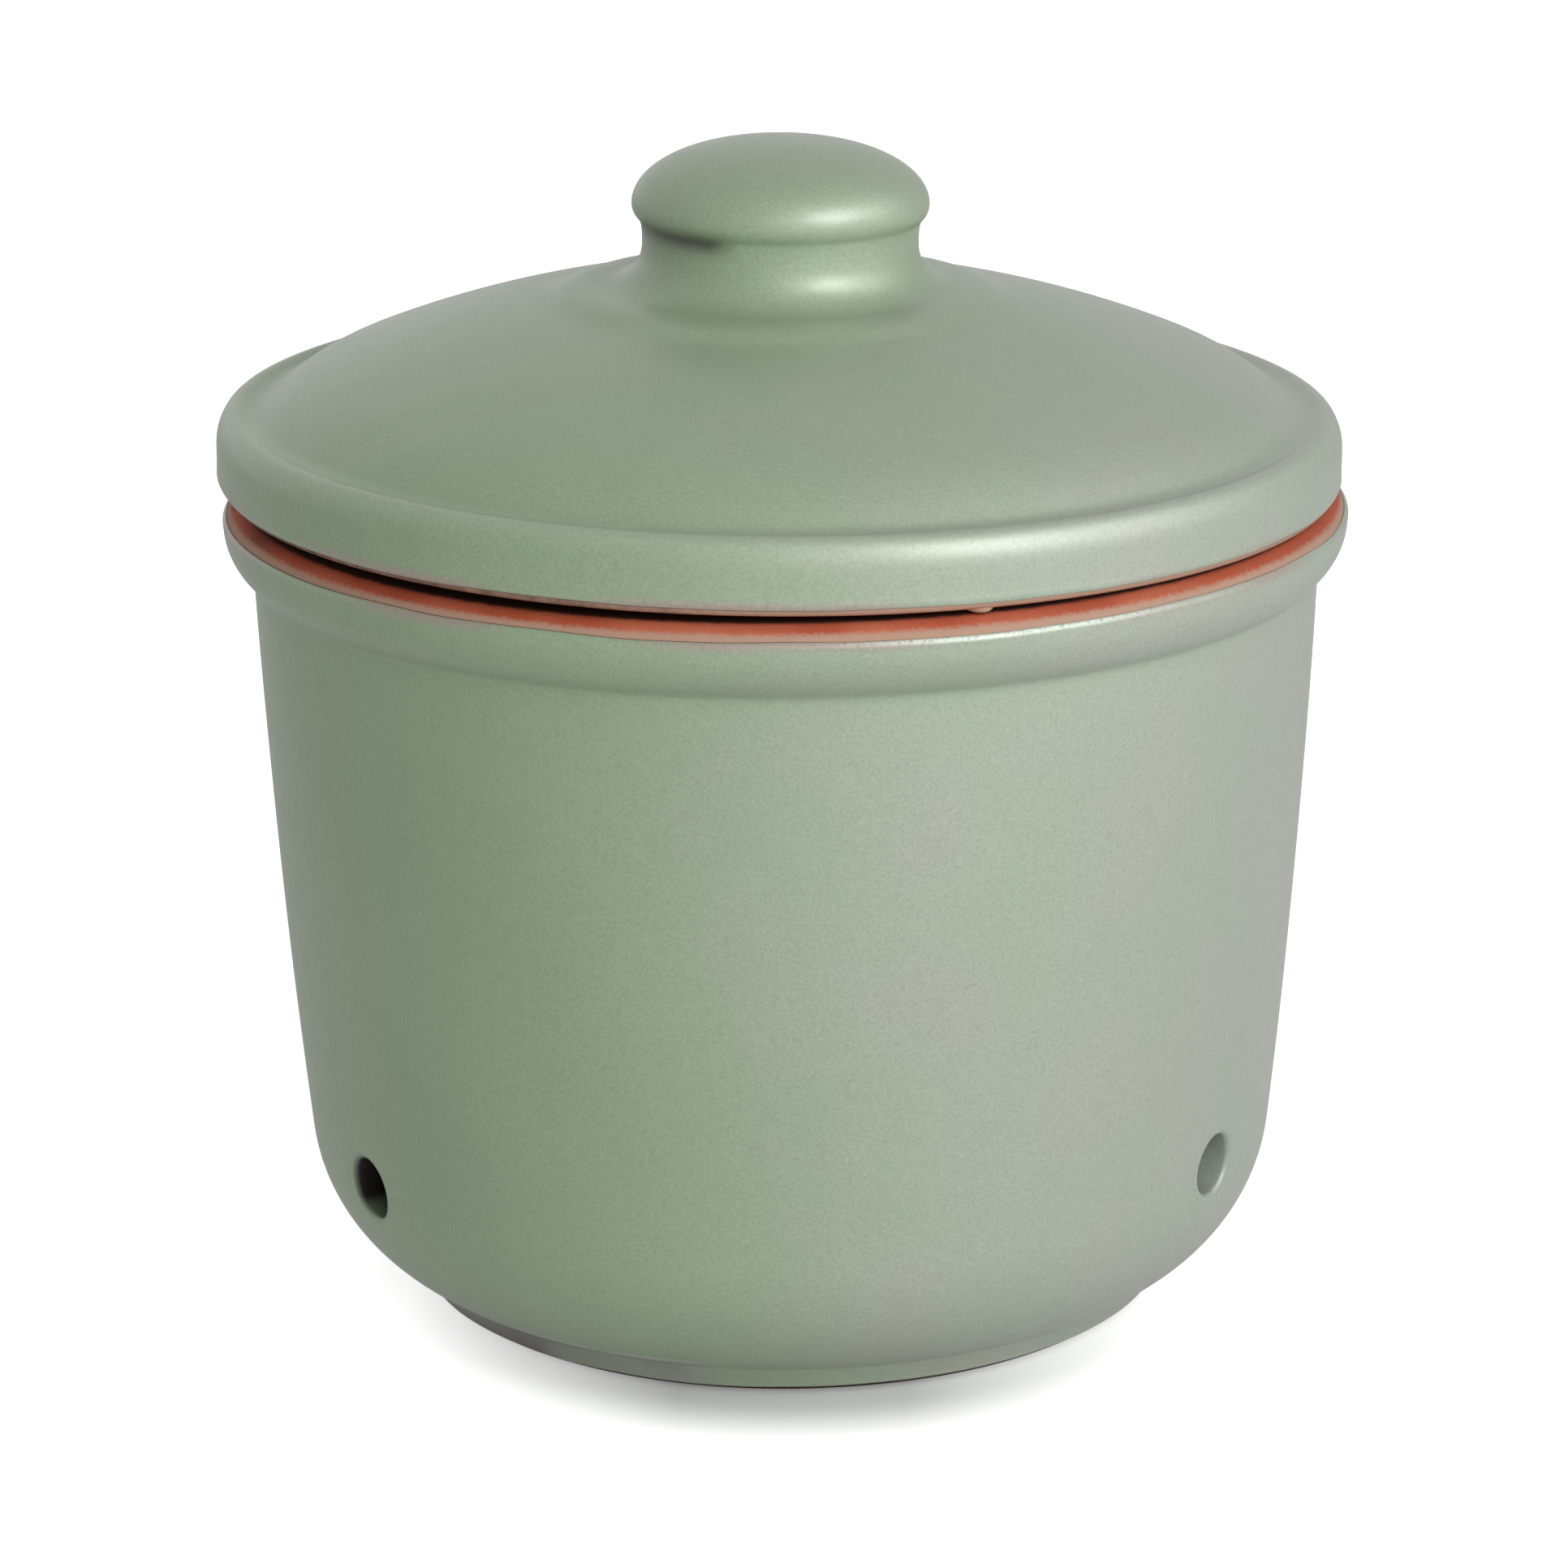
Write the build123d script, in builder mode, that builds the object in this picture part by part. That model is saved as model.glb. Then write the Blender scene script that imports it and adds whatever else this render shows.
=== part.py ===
from build123d import *
from math import atan, cos, radians, sin
import os

# Lidded earthenware keeper with vent holes. Millimetres, +Z up, origin on the floor
# under the middle of the foot, front towards -Y. Every outline below is the bare clay;
# the glaze lies on top of it.

# Glaze
glaze_thickness = 0.5
foot_glaze_gap = 0.9            # bare clay left above the floor
rim_glaze_gap = 2.6             # bare clay left below the top of the rim
lid_glaze_gap = 1.3             # bare clay left above the lid's bottom face

# Jar, the whole
rim_height = 146.9
jar_radius = 94.7               # the top of the wall, just below the rim bead
wall_thickness = 7.0

# Jar, foot and floor
foot_height = 6.2
foot_flare = 4.6                # how much the foot widens upwards
foot_ring_width = 7.0
foot_recess_depth = 3.0
floor_thickness = 8.0
foot_crease_round = 1.2

# Jar, wall
haunch_height = 29.9            # the bowl-shaped bottom turns into the wall here
bowl_reach = 21.0               # the bowl widens this much from the foot's base
wall_taper = 7.4                # the wall widens this much from haunch to rim bead
wall_bulge = 0.85               # and bows out by this much between the two
inner_bottom_round = 24.0

# Jar, rim
bead_depth = 13.0               # from the top of the rim down to the crease under the bead
bead_reach = 5.1                # how far the bead stands out over the crease
bead_crease_round = 2.0
rim_round = 4.3
rim_inner_round = 2.5

# Vent holes
vent_radius = 5.5               # inside the glaze that lines the hole
vent_spread = 58.2              # degrees from the front to each front hole
left_vent_height = 30.6
right_vent_height = 33.9
back_vent_height = 32.2

# Lid, seated on its nubs, pushed a little to the left and higher there
lid_shift = 1.1
lid_gap_low = 0.35
lid_gap_high = 2.85
high_side_angle = 170.5         # degrees from +X to the side that stands high
nub_count = 3
nub_radius = 2.3
nub_clearance = 0.25            # left open between a nub and the rim it rests on
nub_edge_round = 0.35

# Lid, skirt and groove. Each height or reach counts from the feature before it.
lid_inset = 0.3                 # the lid is this much smaller in radius than the rim
lid_bottom_round = 1.6
skirt_height = 7.6              # the upright side ends here
crest_rise = 5.5                # the raised edge above the side
crest_inset = 2.5
crest_round = 2.0
valley_drop = 1.8               # the groove inside the raised edge
valley_width = 4.4
valley_round = 4.0

# Lid, dome and collar round the knob
dome_edge_rise = 9.2            # the dome's steep edge, up from the groove
dome_edge_width = 13.2
dome_rise = 11.7                # from there to the foot of the collar
dome_bulge = 1.24               # and rounder than straight by this much
collar_rise = 2.3
collar_width = 7.5              # from the knob's base to the collar's foot
collar_round = 1.5
lid_thickness = 6.5

# Lid, locating ring underneath
ring_clearance = 0.6            # to the rim's inner wall, on the side it is pushed to
ring_width = 5.0
ring_depth = 9.0
ring_root_round = 2.0
ring_edge_round = 1.5

# Knob
neck_radius = 24.0
knob_seat_depth = 0.7           # the knob is set this deep into the collar
knob_base_edge = 0.5
flare_reach = 7.8               # from the neck out to the knob's base
flare_rise = 8.3
neck_straight = 0.6
neck_top_rise = 3.7             # the neck widens again under the cap
neck_top_reach = 0.6
cap_under_rise = 2.5
cap_reach = 1.9                 # the cap is this much wider than the neck
cap_side_rise = 4.9             # to where crown and side would meet without the round
cap_round = 6.8
crown_rise = 5.9
knob_wall = 9.0
knob_hollow_height = 13.0
knob_hollow_round = 6.0
crown_pinhole_radius = 1.5      # lets air out of the hollow knob in the kiln

os.makedirs("parts", exist_ok=True)

# Places on the jar that follow from the sizes
haunch_radius = jar_radius - wall_taper
foot_radius = haunch_radius - bowl_reach
crease_height = rim_height - bead_depth
bead_radius = jar_radius + bead_reach
bead_height = rim_height - rim_round
rim_inner_radius = jar_radius - wall_thickness
rim_glaze_height = rim_height - rim_glaze_gap
cavity_bottom = foot_recess_depth + floor_thickness
wall_middle = (
    (haunch_radius + jar_radius) / 2 + wall_bulge,
    (haunch_height + crease_height) / 2,
)
vent_places = [
    Plane(origin=(0, 0, height), z_dir=(sin(radians(turn)), -cos(radians(turn)), 0))
    for height, turn in (
        (left_vent_height, -vent_spread),
        (right_vent_height, vent_spread),
        (back_vent_height, 180),
    )
]

# Places on the lid and knob, above the lid's bottom face
lid_radius = bead_radius - lid_inset
crest_radius = lid_radius - crest_inset
crest_height = skirt_height + crest_rise
valley_radius = crest_radius - valley_width
valley_height = crest_height - valley_drop
dome_edge_radius = valley_radius - dome_edge_width
dome_edge_height = valley_height + dome_edge_rise
knob_base_radius = neck_radius + flare_reach
collar_radius = knob_base_radius + collar_width
collar_foot_height = dome_edge_height + dome_rise
collar_height = collar_foot_height + collar_rise
dome_middle = (
    (collar_radius + dome_edge_radius) / 2,
    (collar_foot_height + dome_edge_height) / 2 + dome_bulge,
)
knob_base_height = collar_height - knob_seat_depth
neck_height = knob_base_height + knob_base_edge + flare_rise
neck_top_radius = neck_radius + neck_top_reach
neck_top_height = neck_height + neck_straight + neck_top_rise
cap_radius = neck_radius + cap_reach
cap_height = neck_top_height + cap_under_rise
cap_edge_height = cap_height + cap_side_rise
knob_height = cap_edge_height + crown_rise
knob_hollow_radius = neck_radius - knob_wall

# The lid's own plane: its bottom face, leaning up towards the high side
lid_bottom_radius = lid_radius - lid_bottom_round
lid_lean = atan((lid_gap_high - lid_gap_low) / (2 * lid_bottom_radius))
high_x = cos(radians(high_side_angle))
high_y = sin(radians(high_side_angle))
lid_height = rim_height + (lid_gap_low + lid_gap_high) / 2
lid_plane = Plane(
    origin=(-lid_shift, 0, lid_height),
    x_dir=(high_x * cos(lid_lean), high_y * cos(lid_lean), sin(lid_lean)),
    z_dir=(-high_x * sin(lid_lean), -high_y * sin(lid_lean), cos(lid_lean)),
)
lid_axis = Axis(lid_plane.origin, lid_plane.z_dir)
ring_radius = rim_inner_radius - lid_shift - ring_clearance

# The nubs stand on the middle of the rim's flat top. The two next to the high side's nub
# touch down first, so their gap sets the height of all.
nub_circle_radius = (rim_inner_radius + rim_inner_round + bead_radius - rim_round) / 2
next_nub_reach = nub_circle_radius * cos(radians(360 / nub_count))
gap_share_at_nubs = (lid_bottom_radius + next_nub_reach) / (2 * lid_bottom_radius)
nub_height = lid_gap_low + (lid_gap_high - lid_gap_low) * gap_share_at_nubs - nub_clearance

# Jar outline: the outside of the clay jar, filled, with its two hollow corners still sharp
with BuildSketch(Plane.XZ) as jar_outline:
    with BuildLine():
        wall = ThreePointArc(
            (haunch_radius, haunch_height), wall_middle, (jar_radius, crease_height)
        )
        bowl = TangentArc(
            wall @ 0, (foot_radius + foot_flare, foot_height), tangent=(wall % 0) * -1
        )
        foot_side = Line(bowl @ 1, (foot_radius, 0))
        standing_face = Line(foot_side @ 1, (0, 0))
        bead = TangentArc((bead_radius, bead_height), wall @ 1, tangent=(0, -1))
        rim = TangentArc(bead @ 0, (bead_radius - rim_round, rim_height), tangent=(0, 1))
        Polyline(rim @ 1, (0, rim_height), (0, 0))
    make_face()

# Jar form: the same outline with its hollow corners rounded
with BuildSketch(Plane.XZ) as jar_form:
    add(jar_outline)
    fillet(jar_form.vertices().sort_by_distance(wall @ 1)[0], bead_crease_round)
    fillet(jar_form.vertices().sort_by_distance(bowl @ 1)[0], foot_crease_round)

# Jar coat: the form and its glaze as one filled outline
with BuildSketch(Plane.XZ) as jar_coat:
    add(jar_outline)
    offset(amount=glaze_thickness, kind=Kind.INTERSECTION)
    fillet(jar_coat.vertices().sort_by_distance(wall @ 1)[0], bead_crease_round - glaze_thickness)
    fillet(jar_coat.vertices().sort_by_distance(bowl @ 1)[0], foot_crease_round - glaze_thickness)

# Jar section: the wall, floor and foot ring, hollow inside and recessed underneath
with BuildSketch(Plane.XZ) as jar_section:
    add(jar_form)
    with BuildSketch(mode=Mode.SUBTRACT) as cavity:
        with BuildLine():
            Polyline(
                (0, rim_height),
                (0, cavity_bottom),
                (haunch_radius - wall_thickness, cavity_bottom),
                (rim_inner_radius, crease_height),
                (rim_inner_radius, rim_height),
                close=True,
            )
        make_face()
        fillet(
            cavity.vertices().sort_by_distance((haunch_radius - wall_thickness, cavity_bottom))[0],
            inner_bottom_round,
        )
    Rectangle(
        foot_radius - foot_ring_width,
        foot_recess_depth,
        align=(Align.MIN, Align.MIN),
        mode=Mode.SUBTRACT,
    )
    fillet(
        jar_section.vertices().sort_by_distance((rim_inner_radius, rim_height))[0],
        rim_inner_round,
    )

# Jar skin: the glaze on the outside, between the foot's edge and the rim's glaze line
with BuildSketch(Plane.XZ) as jar_skin:
    add(jar_coat)
    add(jar_form, mode=Mode.SUBTRACT)
    with Locations((foot_radius - foot_ring_width, foot_glaze_gap)):
        Rectangle(
            bead_radius,
            rim_glaze_height - foot_glaze_gap,
            align=(Align.MIN, Align.MIN),
            mode=Mode.INTERSECT,
        )

# Jar body: the clay, with a hole drilled wide enough for its glaze lining at each vent
with BuildPart() as jar_body:
    revolve(jar_section.sketch, axis=Axis.Z)
    with Locations(*vent_places):
        Cylinder(
            vent_radius + glaze_thickness,
            bead_radius,
            align=(Align.CENTER, Align.CENTER, Align.MIN),
            mode=Mode.SUBTRACT,
        )
jar_body.part.label = "jar_body"

# Jar with its skin, in one outline
with BuildSketch(Plane.XZ) as glazed_section:
    add(jar_section)
    add(jar_skin)

# Vent plugs: what each vent hole and its lining take out of the glazed wall
with BuildPart() as vent_plugs:
    with Locations(*vent_places):
        Cylinder(
            vent_radius + glaze_thickness,
            bead_radius,
            align=(Align.CENTER, Align.CENTER, Align.MIN),
        )
    revolve(glazed_section.sketch, axis=Axis.Z, mode=Mode.INTERSECT)

# Jar glaze: the skin, and a lining in each vent hole
with BuildPart() as jar_glaze:
    revolve(jar_skin.sketch, axis=Axis.Z)
    add(vent_plugs)
    with Locations(*vent_places):
        Cylinder(
            vent_radius,
            bead_radius,
            align=(Align.CENTER, Align.CENTER, Align.MIN),
            mode=Mode.SUBTRACT,
        )
jar_glaze.part.label = "jar_glaze"

# Lid form: the outside of the clay lid as one filled outline, level, its bottom face at 0
with BuildSketch(Plane.XZ) as lid_form:
    with BuildLine():
        skirt = Line((lid_radius, 0), (lid_radius, skirt_height))
        shoulder = TangentArc(skirt @ 1, (crest_radius, crest_height), tangent=skirt % 1)
        dome = ThreePointArc(
            (collar_radius, collar_foot_height), dome_middle, (dome_edge_radius, dome_edge_height)
        )
        dome_edge = TangentArc(dome @ 1, (valley_radius, valley_height), tangent=dome % 1)
        Line(shoulder @ 1, dome_edge @ 1)
        Polyline(
            dome @ 0,
            (collar_radius - collar_round, collar_height),
            (knob_base_radius, collar_height),
            (knob_base_radius, knob_base_height),
            (0, knob_base_height),
            (0, 0),
            skirt @ 0,
        )
    make_face()
    fillet(lid_form.vertices().sort_by_distance(skirt @ 0)[0], lid_bottom_round)
    fillet(lid_form.vertices().sort_by_distance(shoulder @ 1)[0], crest_round)
    fillet(lid_form.vertices().sort_by_distance(dome_edge @ 1)[0], valley_round)

# Knob form: the outside of the clay knob as one filled outline, on its seat on the crown
with BuildSketch(Plane.XZ) as knob_form:
    with BuildLine():
        neck = Line((neck_radius, neck_height), (neck_radius, neck_height + neck_straight))
        flare = TangentArc(
            neck @ 0, (knob_base_radius, knob_base_height + knob_base_edge), tangent=(0, -1)
        )
        neck_top = TangentArc(neck @ 1, (neck_top_radius, neck_top_height), tangent=(0, 1))
        crown = TangentArc((0, knob_height), (cap_radius, cap_edge_height), tangent=(1, 0))
        cap_side = Line(crown @ 1, (cap_radius, cap_height))
        TangentArc(cap_side @ 1, neck_top @ 1, tangent=cap_side % 1)
        Polyline(crown @ 0, (0, knob_base_height), (knob_base_radius, knob_base_height), flare @ 1)
    make_face()
    fillet(knob_form.vertices().sort_by_distance(crown @ 1)[0], cap_round)

# Lid hollow: the lid's own outline sunk by its thickness, inside the locating ring
with BuildSketch(Plane.XZ) as lid_hollow:
    with Locations((0, -lid_thickness)):
        add(lid_form)
    Rectangle(
        ring_radius - ring_width, lid_height, align=(Align.MIN, Align.MIN), mode=Mode.INTERSECT
    )

# Lid section: hollow under the dome, a locating ring, and a pinhole in the crown
with BuildSketch(Plane.XZ) as lid_wall:
    add(lid_form)
    add(lid_hollow, mode=Mode.SUBTRACT)
    with Locations((ring_radius, -ring_depth)):
        Rectangle(ring_width, ring_depth, align=(Align.MAX, Align.MIN))
    fillet(lid_wall.vertices().sort_by(Axis.Y)[:2], ring_edge_round)
    fillet(lid_wall.vertices().sort_by_distance((ring_radius, 0))[0], ring_root_round)
    Rectangle(
        crown_pinhole_radius, lid_height, align=(Align.MIN, Align.MIN), mode=Mode.SUBTRACT
    )

# Knob section: the same outline, hollow from its base up
with BuildSketch(Plane.XZ) as knob_wall:
    add(knob_form)
    with BuildSketch(mode=Mode.SUBTRACT) as knob_hollow:
        with Locations((0, knob_base_height)):
            Rectangle(knob_hollow_radius, knob_hollow_height, align=(Align.MIN, Align.MIN))
        fillet(knob_hollow.vertices().sort_by(Axis.Y)[-2:].sort_by(Axis.X)[-1], knob_hollow_round)

# Lid skin: the glaze over the lid and knob together, down to the lid's glaze line
with BuildSketch(Plane.XZ) as lid_skin:
    add(lid_form)
    add(knob_form)
    offset(amount=glaze_thickness)
    add(lid_form, mode=Mode.SUBTRACT)
    add(knob_form, mode=Mode.SUBTRACT)
    with Locations((0, lid_glaze_gap)):
        Rectangle(
            lid_radius + glaze_thickness,
            knob_height + glaze_thickness,
            align=(Align.MIN, Align.MIN),
            mode=Mode.INTERSECT,
        )

# The three revolved pieces of the lid, still level
with BuildPart() as level_body:
    revolve(lid_wall.sketch, axis=Axis.Z)
with BuildPart() as level_knob:
    revolve(knob_wall.sketch, axis=Axis.Z)
with BuildPart() as level_glaze:
    revolve(lid_skin.sketch, axis=Axis.Z)

# Lid body
with BuildPart() as lid_body:
    with Locations(lid_plane):
        add(level_body)
lid_body.part.label = "lid_body"

# Lid knob
with BuildPart() as lid_knob:
    with Locations(lid_plane):
        add(level_knob)
lid_knob.part.label = "lid_knob"

# Lid glaze
with BuildPart() as lid_glaze:
    with Locations(lid_plane):
        add(level_glaze)
lid_glaze.part.label = "lid_glaze"

# Spacer nubs: three pips of clay under the lid's edge, one of them under the high side
with BuildPart() as spacer_nubs:
    with BuildSketch(lid_plane):
        with PolarLocations(nub_circle_radius, nub_count):
            Circle(nub_radius)
    extrude(amount=-nub_height)
    fillet(spacer_nubs.edges().group_by(lid_axis)[0], nub_edge_round)
spacer_nubs.part.label = "spacer_nubs"

for piece in (jar_body, jar_glaze, lid_body, lid_knob, lid_glaze, spacer_nubs):
    export_step(piece.part, f"parts/{piece.part.label}.step")
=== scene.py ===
# %% [markdown]
# # A lidded earthenware storage jar
# A thick jar of red clay stands on a low foot ring. It is covered in a sage green satin
# glaze, except where bare clay would have touched the kiln shelf or the lid: under the
# foot, round the rim and inside. Three small vent holes near the bottom let the food
# inside breathe, and a heavy lid with a round knob rests on three pips of clay.
#
# The exact, measured solids of the jar are loaded first. They fix every size and place.
# The pieces made below lie on those solids and add what a fired pot has: soft edges,
# a glaze with a thickness of its own, and a surface that is never one flat colour.

# %% Load the measured jar
import bpy
import numpy as np
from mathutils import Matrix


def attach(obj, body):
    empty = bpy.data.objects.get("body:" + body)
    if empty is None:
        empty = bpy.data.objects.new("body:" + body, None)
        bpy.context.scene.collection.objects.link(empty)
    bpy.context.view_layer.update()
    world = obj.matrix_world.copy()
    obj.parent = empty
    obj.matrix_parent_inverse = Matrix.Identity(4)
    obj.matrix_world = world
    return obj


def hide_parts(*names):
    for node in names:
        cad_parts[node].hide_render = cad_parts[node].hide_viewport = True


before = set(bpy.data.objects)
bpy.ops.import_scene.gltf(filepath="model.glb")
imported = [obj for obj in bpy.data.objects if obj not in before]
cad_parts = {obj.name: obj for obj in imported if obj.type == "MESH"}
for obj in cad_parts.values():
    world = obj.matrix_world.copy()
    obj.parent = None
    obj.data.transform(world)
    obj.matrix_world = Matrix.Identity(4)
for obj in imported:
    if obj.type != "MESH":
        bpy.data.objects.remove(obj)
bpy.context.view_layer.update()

# %% [markdown]
# ## Drawing with arcs
# A potter cuts a template, called a rib, to shape the outside of a pot. Its edge is a
# chain of straight runs and arcs, each leaving the last in the same direction. The jar
# and lid are drawn the same way, in millimetres, as (distance from the middle, height).
# Every run is a row of points 0.1 mm apart, so runs can be joined, rounded and moved
# sideways as plain arrays. Curve objects could do this too, but arrays let the glaze
# follow exactly the line that the clay has.

# %% Straight runs and arcs
FINE = 0.1


def straight(*corners):
    """Runs from corner to corner: start + share * (end - start), for even shares."""
    runs = []
    for start, end in zip(corners[:-1], corners[1:]):
        steps = max(2, int(np.ceil(np.hypot(*np.subtract(end, start)) / FINE)))
        runs.append(np.linspace(start, end, steps, endpoint=False))
    return np.vstack(runs + [np.array(corners[-1:], dtype=float)])


def arc(start, end, leaving):
    """The arc that leaves start in a given direction and arrives at end.
    Half of its whole turn is the angle from that direction to the straight chord. A
    point a share of the way along lies chord * sin(share * half) / sin(half) from the
    start, in the leaving direction turned by share * half."""
    chord = np.subtract(end, start)
    leaving = np.asarray(leaving) / np.hypot(*leaving)
    half = np.arctan2(leaving[0] * chord[1] - leaving[1] * chord[0], leaving @ chord)
    turned = half * np.linspace(0, 1, 2 + int(np.hypot(*chord) / FINE))
    reach = np.hypot(*chord) * np.sin(turned) / np.sin(half)
    across = leaving[0] * np.cos(turned) - leaving[1] * np.sin(turned)
    up = leaving[0] * np.sin(turned) + leaving[1] * np.cos(turned)
    return np.array(start) + reach[:, None] * np.column_stack([across, up])


def arc_through(start, middle, end):
    """The arc through three points. With points as complex numbers, it leaves the first
    in the direction (middle - start) * (end - start) / (end - middle)."""
    first, second, third = (complex(*point) for point in (start, middle, end))
    leaving = (second - first) * (third - first) / (third - second)
    return arc(start, end, (leaving.real, leaving.imag))


# %% [markdown]
# ## Rounding a corner
# Where two runs meet at a corner, a wet sponge leaves a round. A ball of the same radius
# would touch both runs at once, so its middle is where the two runs, each moved sideways
# by the radius, come closest to each other.

# %% Rounds
def left_of(outline):
    """A unit arrow to the left of the way of travel at each point: the direction to the
    next point less the one to the last, turned a quarter to the left."""
    ahead = np.gradient(outline, axis=0)
    ahead /= np.hypot(*ahead.T)[:, None]
    return np.column_stack([-ahead[:, 1], ahead[:, 0]])


def round_corner(first, second, radius):
    """Joins two runs with a round: move both by the radius to the inside of the corner,
    take the closest pair of points, and swing an arc between the two it came from."""
    arriving, leaving = first[-1] - first[-2], second[1] - second[0]
    side = np.sign(arriving[0] * leaving[1] - arriving[1] * leaving[0]) * radius
    moved_first = first + side * left_of(first)
    moved_second = second + side * left_of(second)
    gaps = np.hypot(*(moved_first[:, None] - moved_second[None]).transpose(2, 0, 1))
    last, start = np.unravel_index(gaps.argmin(), gaps.shape)
    swing = arc(first[last], second[start], first[last] - first[last - 1])
    return np.vstack([first[:last], swing, second[start + 1:]])


# %% [markdown]
# ## Softening an outline
# No edge on a glazed pot is as crisp as a drawing. A soft outline is the drawn one with
# every point replaced by the average of its neighbours, weighted by a bell curve. The
# weights fall away within a millimetre or two, so long curves stay where they are and
# only the corners give.

# %% Even spacing and softening
def travel(outline):
    """How far along the outline each point lies: the sum of the steps up to it."""
    return np.concatenate([[0], np.cumsum(np.hypot(*np.diff(outline, axis=0).T))])


def along(outline, places):
    """The points of the outline at the given distances along it."""
    far = travel(outline)
    return np.stack([np.interp(places, far, outline[:, 0]),
                     np.interp(places, far, outline[:, 1])], axis=-1)


def soften(outline, width):
    """The outline averaged along its own length with the weights
    exp(-distance^2 / (2 * width^2)). Past each end the outline is carried on turned half
    round, which keeps both ends in place."""
    length = travel(outline)[-1]
    even = along(outline, np.linspace(0, length, int(length / FINE)))
    reach = int(4 * width / FINE)
    weights = np.exp(-0.5 * (np.arange(-reach, reach + 1) * FINE / width) ** 2)
    weights /= weights.sum()
    before = 2 * even[0] - even[reach:0:-1]
    after = 2 * even[-1] - even[-2:-reach - 2:-1]
    longer = np.vstack([before, even, after])
    return np.column_stack([np.convolve(column, weights, "valid") for column in longer.T])


def melt(outline, width, middle, reach):
    """The outline softened by half a millimetre everywhere, and by a greater width near
    one point: a share exp(-(distance / reach)^2) of the wide average, and the rest of
    the narrow one."""
    narrow, wide = soften(outline, 0.5), soften(outline, width)
    share = np.exp(-(np.hypot(*(narrow - middle).T) / reach) ** 2)[:, None]
    return share * wide + (1 - share) * narrow


# %% [markdown]
# ## The outside of the jar
# The jar rises from its foot in a bowl, goes over into a nearly straight wall, and ends
# in a thick rim bead that stops it chipping. The crease under the bead is where glaze
# gathers and looks darker. The figures are those of the measured solid.

# %% Jar outline, outside
FOOT_RADIUS, FOOT_TOP = 66.3, (70.9, 6.2)
HAUNCH, WALL_MIDDLE, CREASE = (87.3, 29.9), (91.85, 81.9), (94.7, 133.9)
BEAD, RIM_EDGE, RIM_HEIGHT = (99.8, 142.6), 95.5, 146.9

foot_side = straight((FOOT_RADIUS, 0), FOOT_TOP)
jar_wall = arc_through(HAUNCH, WALL_MIDDLE, CREASE)
bowl = arc(HAUNCH, FOOT_TOP, jar_wall[0] - jar_wall[1])[::-1]
bead = arc(BEAD, CREASE, (0, -1))[::-1]
rim_top = arc(BEAD, (RIM_EDGE, RIM_HEIGHT), (0, 1))
jar_outside = round_corner(foot_side, np.vstack([bowl, jar_wall[1:]]), 1.2)
jar_outside = round_corner(jar_outside, np.vstack([bead, rim_top[1:]]), 2.0)
print(f"jar outside: {travel(jar_outside)[-1]:.0f} mm along the outline")

# %% [markdown]
# ## The inside of the jar
# The wall is 7 mm thick and turns into the floor with a wide round, so that nothing
# sticks in a corner. Underneath, the floor is recessed inside the foot ring.

# %% Jar outline, inside and underneath
INNER_RADIUS, INNER_FLOOR = 87.7, (80.3, 11.0)
RECESS_RADIUS, RECESS_HEIGHT = 59.3, 3.0

underneath = straight((0, RECESS_HEIGHT), (RECESS_RADIUS, RECESS_HEIGHT),
                      (RECESS_RADIUS, 0), (FOOT_RADIUS, 0))
rim_flat = straight((RIM_EDGE, RIM_HEIGHT), (INNER_RADIUS, RIM_HEIGHT))
inner_wall = straight((INNER_RADIUS, RIM_HEIGHT), (INNER_RADIUS, CREASE[1]), INNER_FLOOR)
inner_floor = straight(INNER_FLOOR, (0, INNER_FLOOR[1]))
jar_inside = round_corner(rim_flat, inner_wall, 2.5)
jar_inside = round_corner(jar_inside, inner_floor, 24.0)
jar_clay_line = soften(np.vstack([underneath, jar_outside[1:], jar_inside[1:]]), 0.5)
print(f"jar clay: {travel(jar_clay_line)[-1]:.0f} mm from pole to pole")

# %% [markdown]
# ## The lid
# The lid's side rises to a raised edge, drops into a shallow groove and climbs over a
# wide dome to a low collar, on which the knob is set. The joint of collar and knob was
# smoothed with a wet finger, so the collar is the softest edge of all. All heights count
# from the lid's own flat bottom. Its underside runs 6.5 mm below the top, down to the ring
# that keeps the lid from sliding off the jar.

# %% Lid outline
LID_RADIUS, CREST, VALLEY = 99.5, (97.0, 13.1), (92.6, 11.3)
DOME_EDGE, DOME_MIDDLE, COLLAR_FOOT = (79.4, 20.5), (59.35, 27.59), (39.3, 32.2)
COLLAR_TOP, KNOB_BASE, SEAT_HEIGHT = (37.8, 34.5), 31.8, 33.8
COLLAR_SOFTNESS = {"width": 2.8, "middle": (37.0, 33.8), "reach": 8.0}
LID_THICKNESS, RING_INSIDE, RING_OUTSIDE, RING_DEPTH = 6.5, 81.0, 86.0, 9.0
PINHOLE = 1.5

lid_bottom = straight((RING_OUTSIDE, 0), (LID_RADIUS, 0))
lid_side = straight((LID_RADIUS, 0), (LID_RADIUS, 7.6))
shoulder = arc((LID_RADIUS, 7.6), CREST, (0, 1))
dome = arc_through(DOME_EDGE, DOME_MIDDLE, COLLAR_FOOT)
dome_edge = arc(DOME_EDGE, VALLEY, dome[0] - dome[1])[::-1]
groove = straight(CREST, VALLEY)
lid_top = round_corner(np.vstack([lid_side, shoulder[1:]]), groove, 2.0)
lid_top = round_corner(lid_top, np.vstack([dome_edge, dome[1:]]), 4.0)
collar = straight(COLLAR_FOOT, COLLAR_TOP, (KNOB_BASE, COLLAR_TOP[1]))
print(f"lid outside: {travel(lid_top)[-1]:.0f} mm along the outline")

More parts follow.
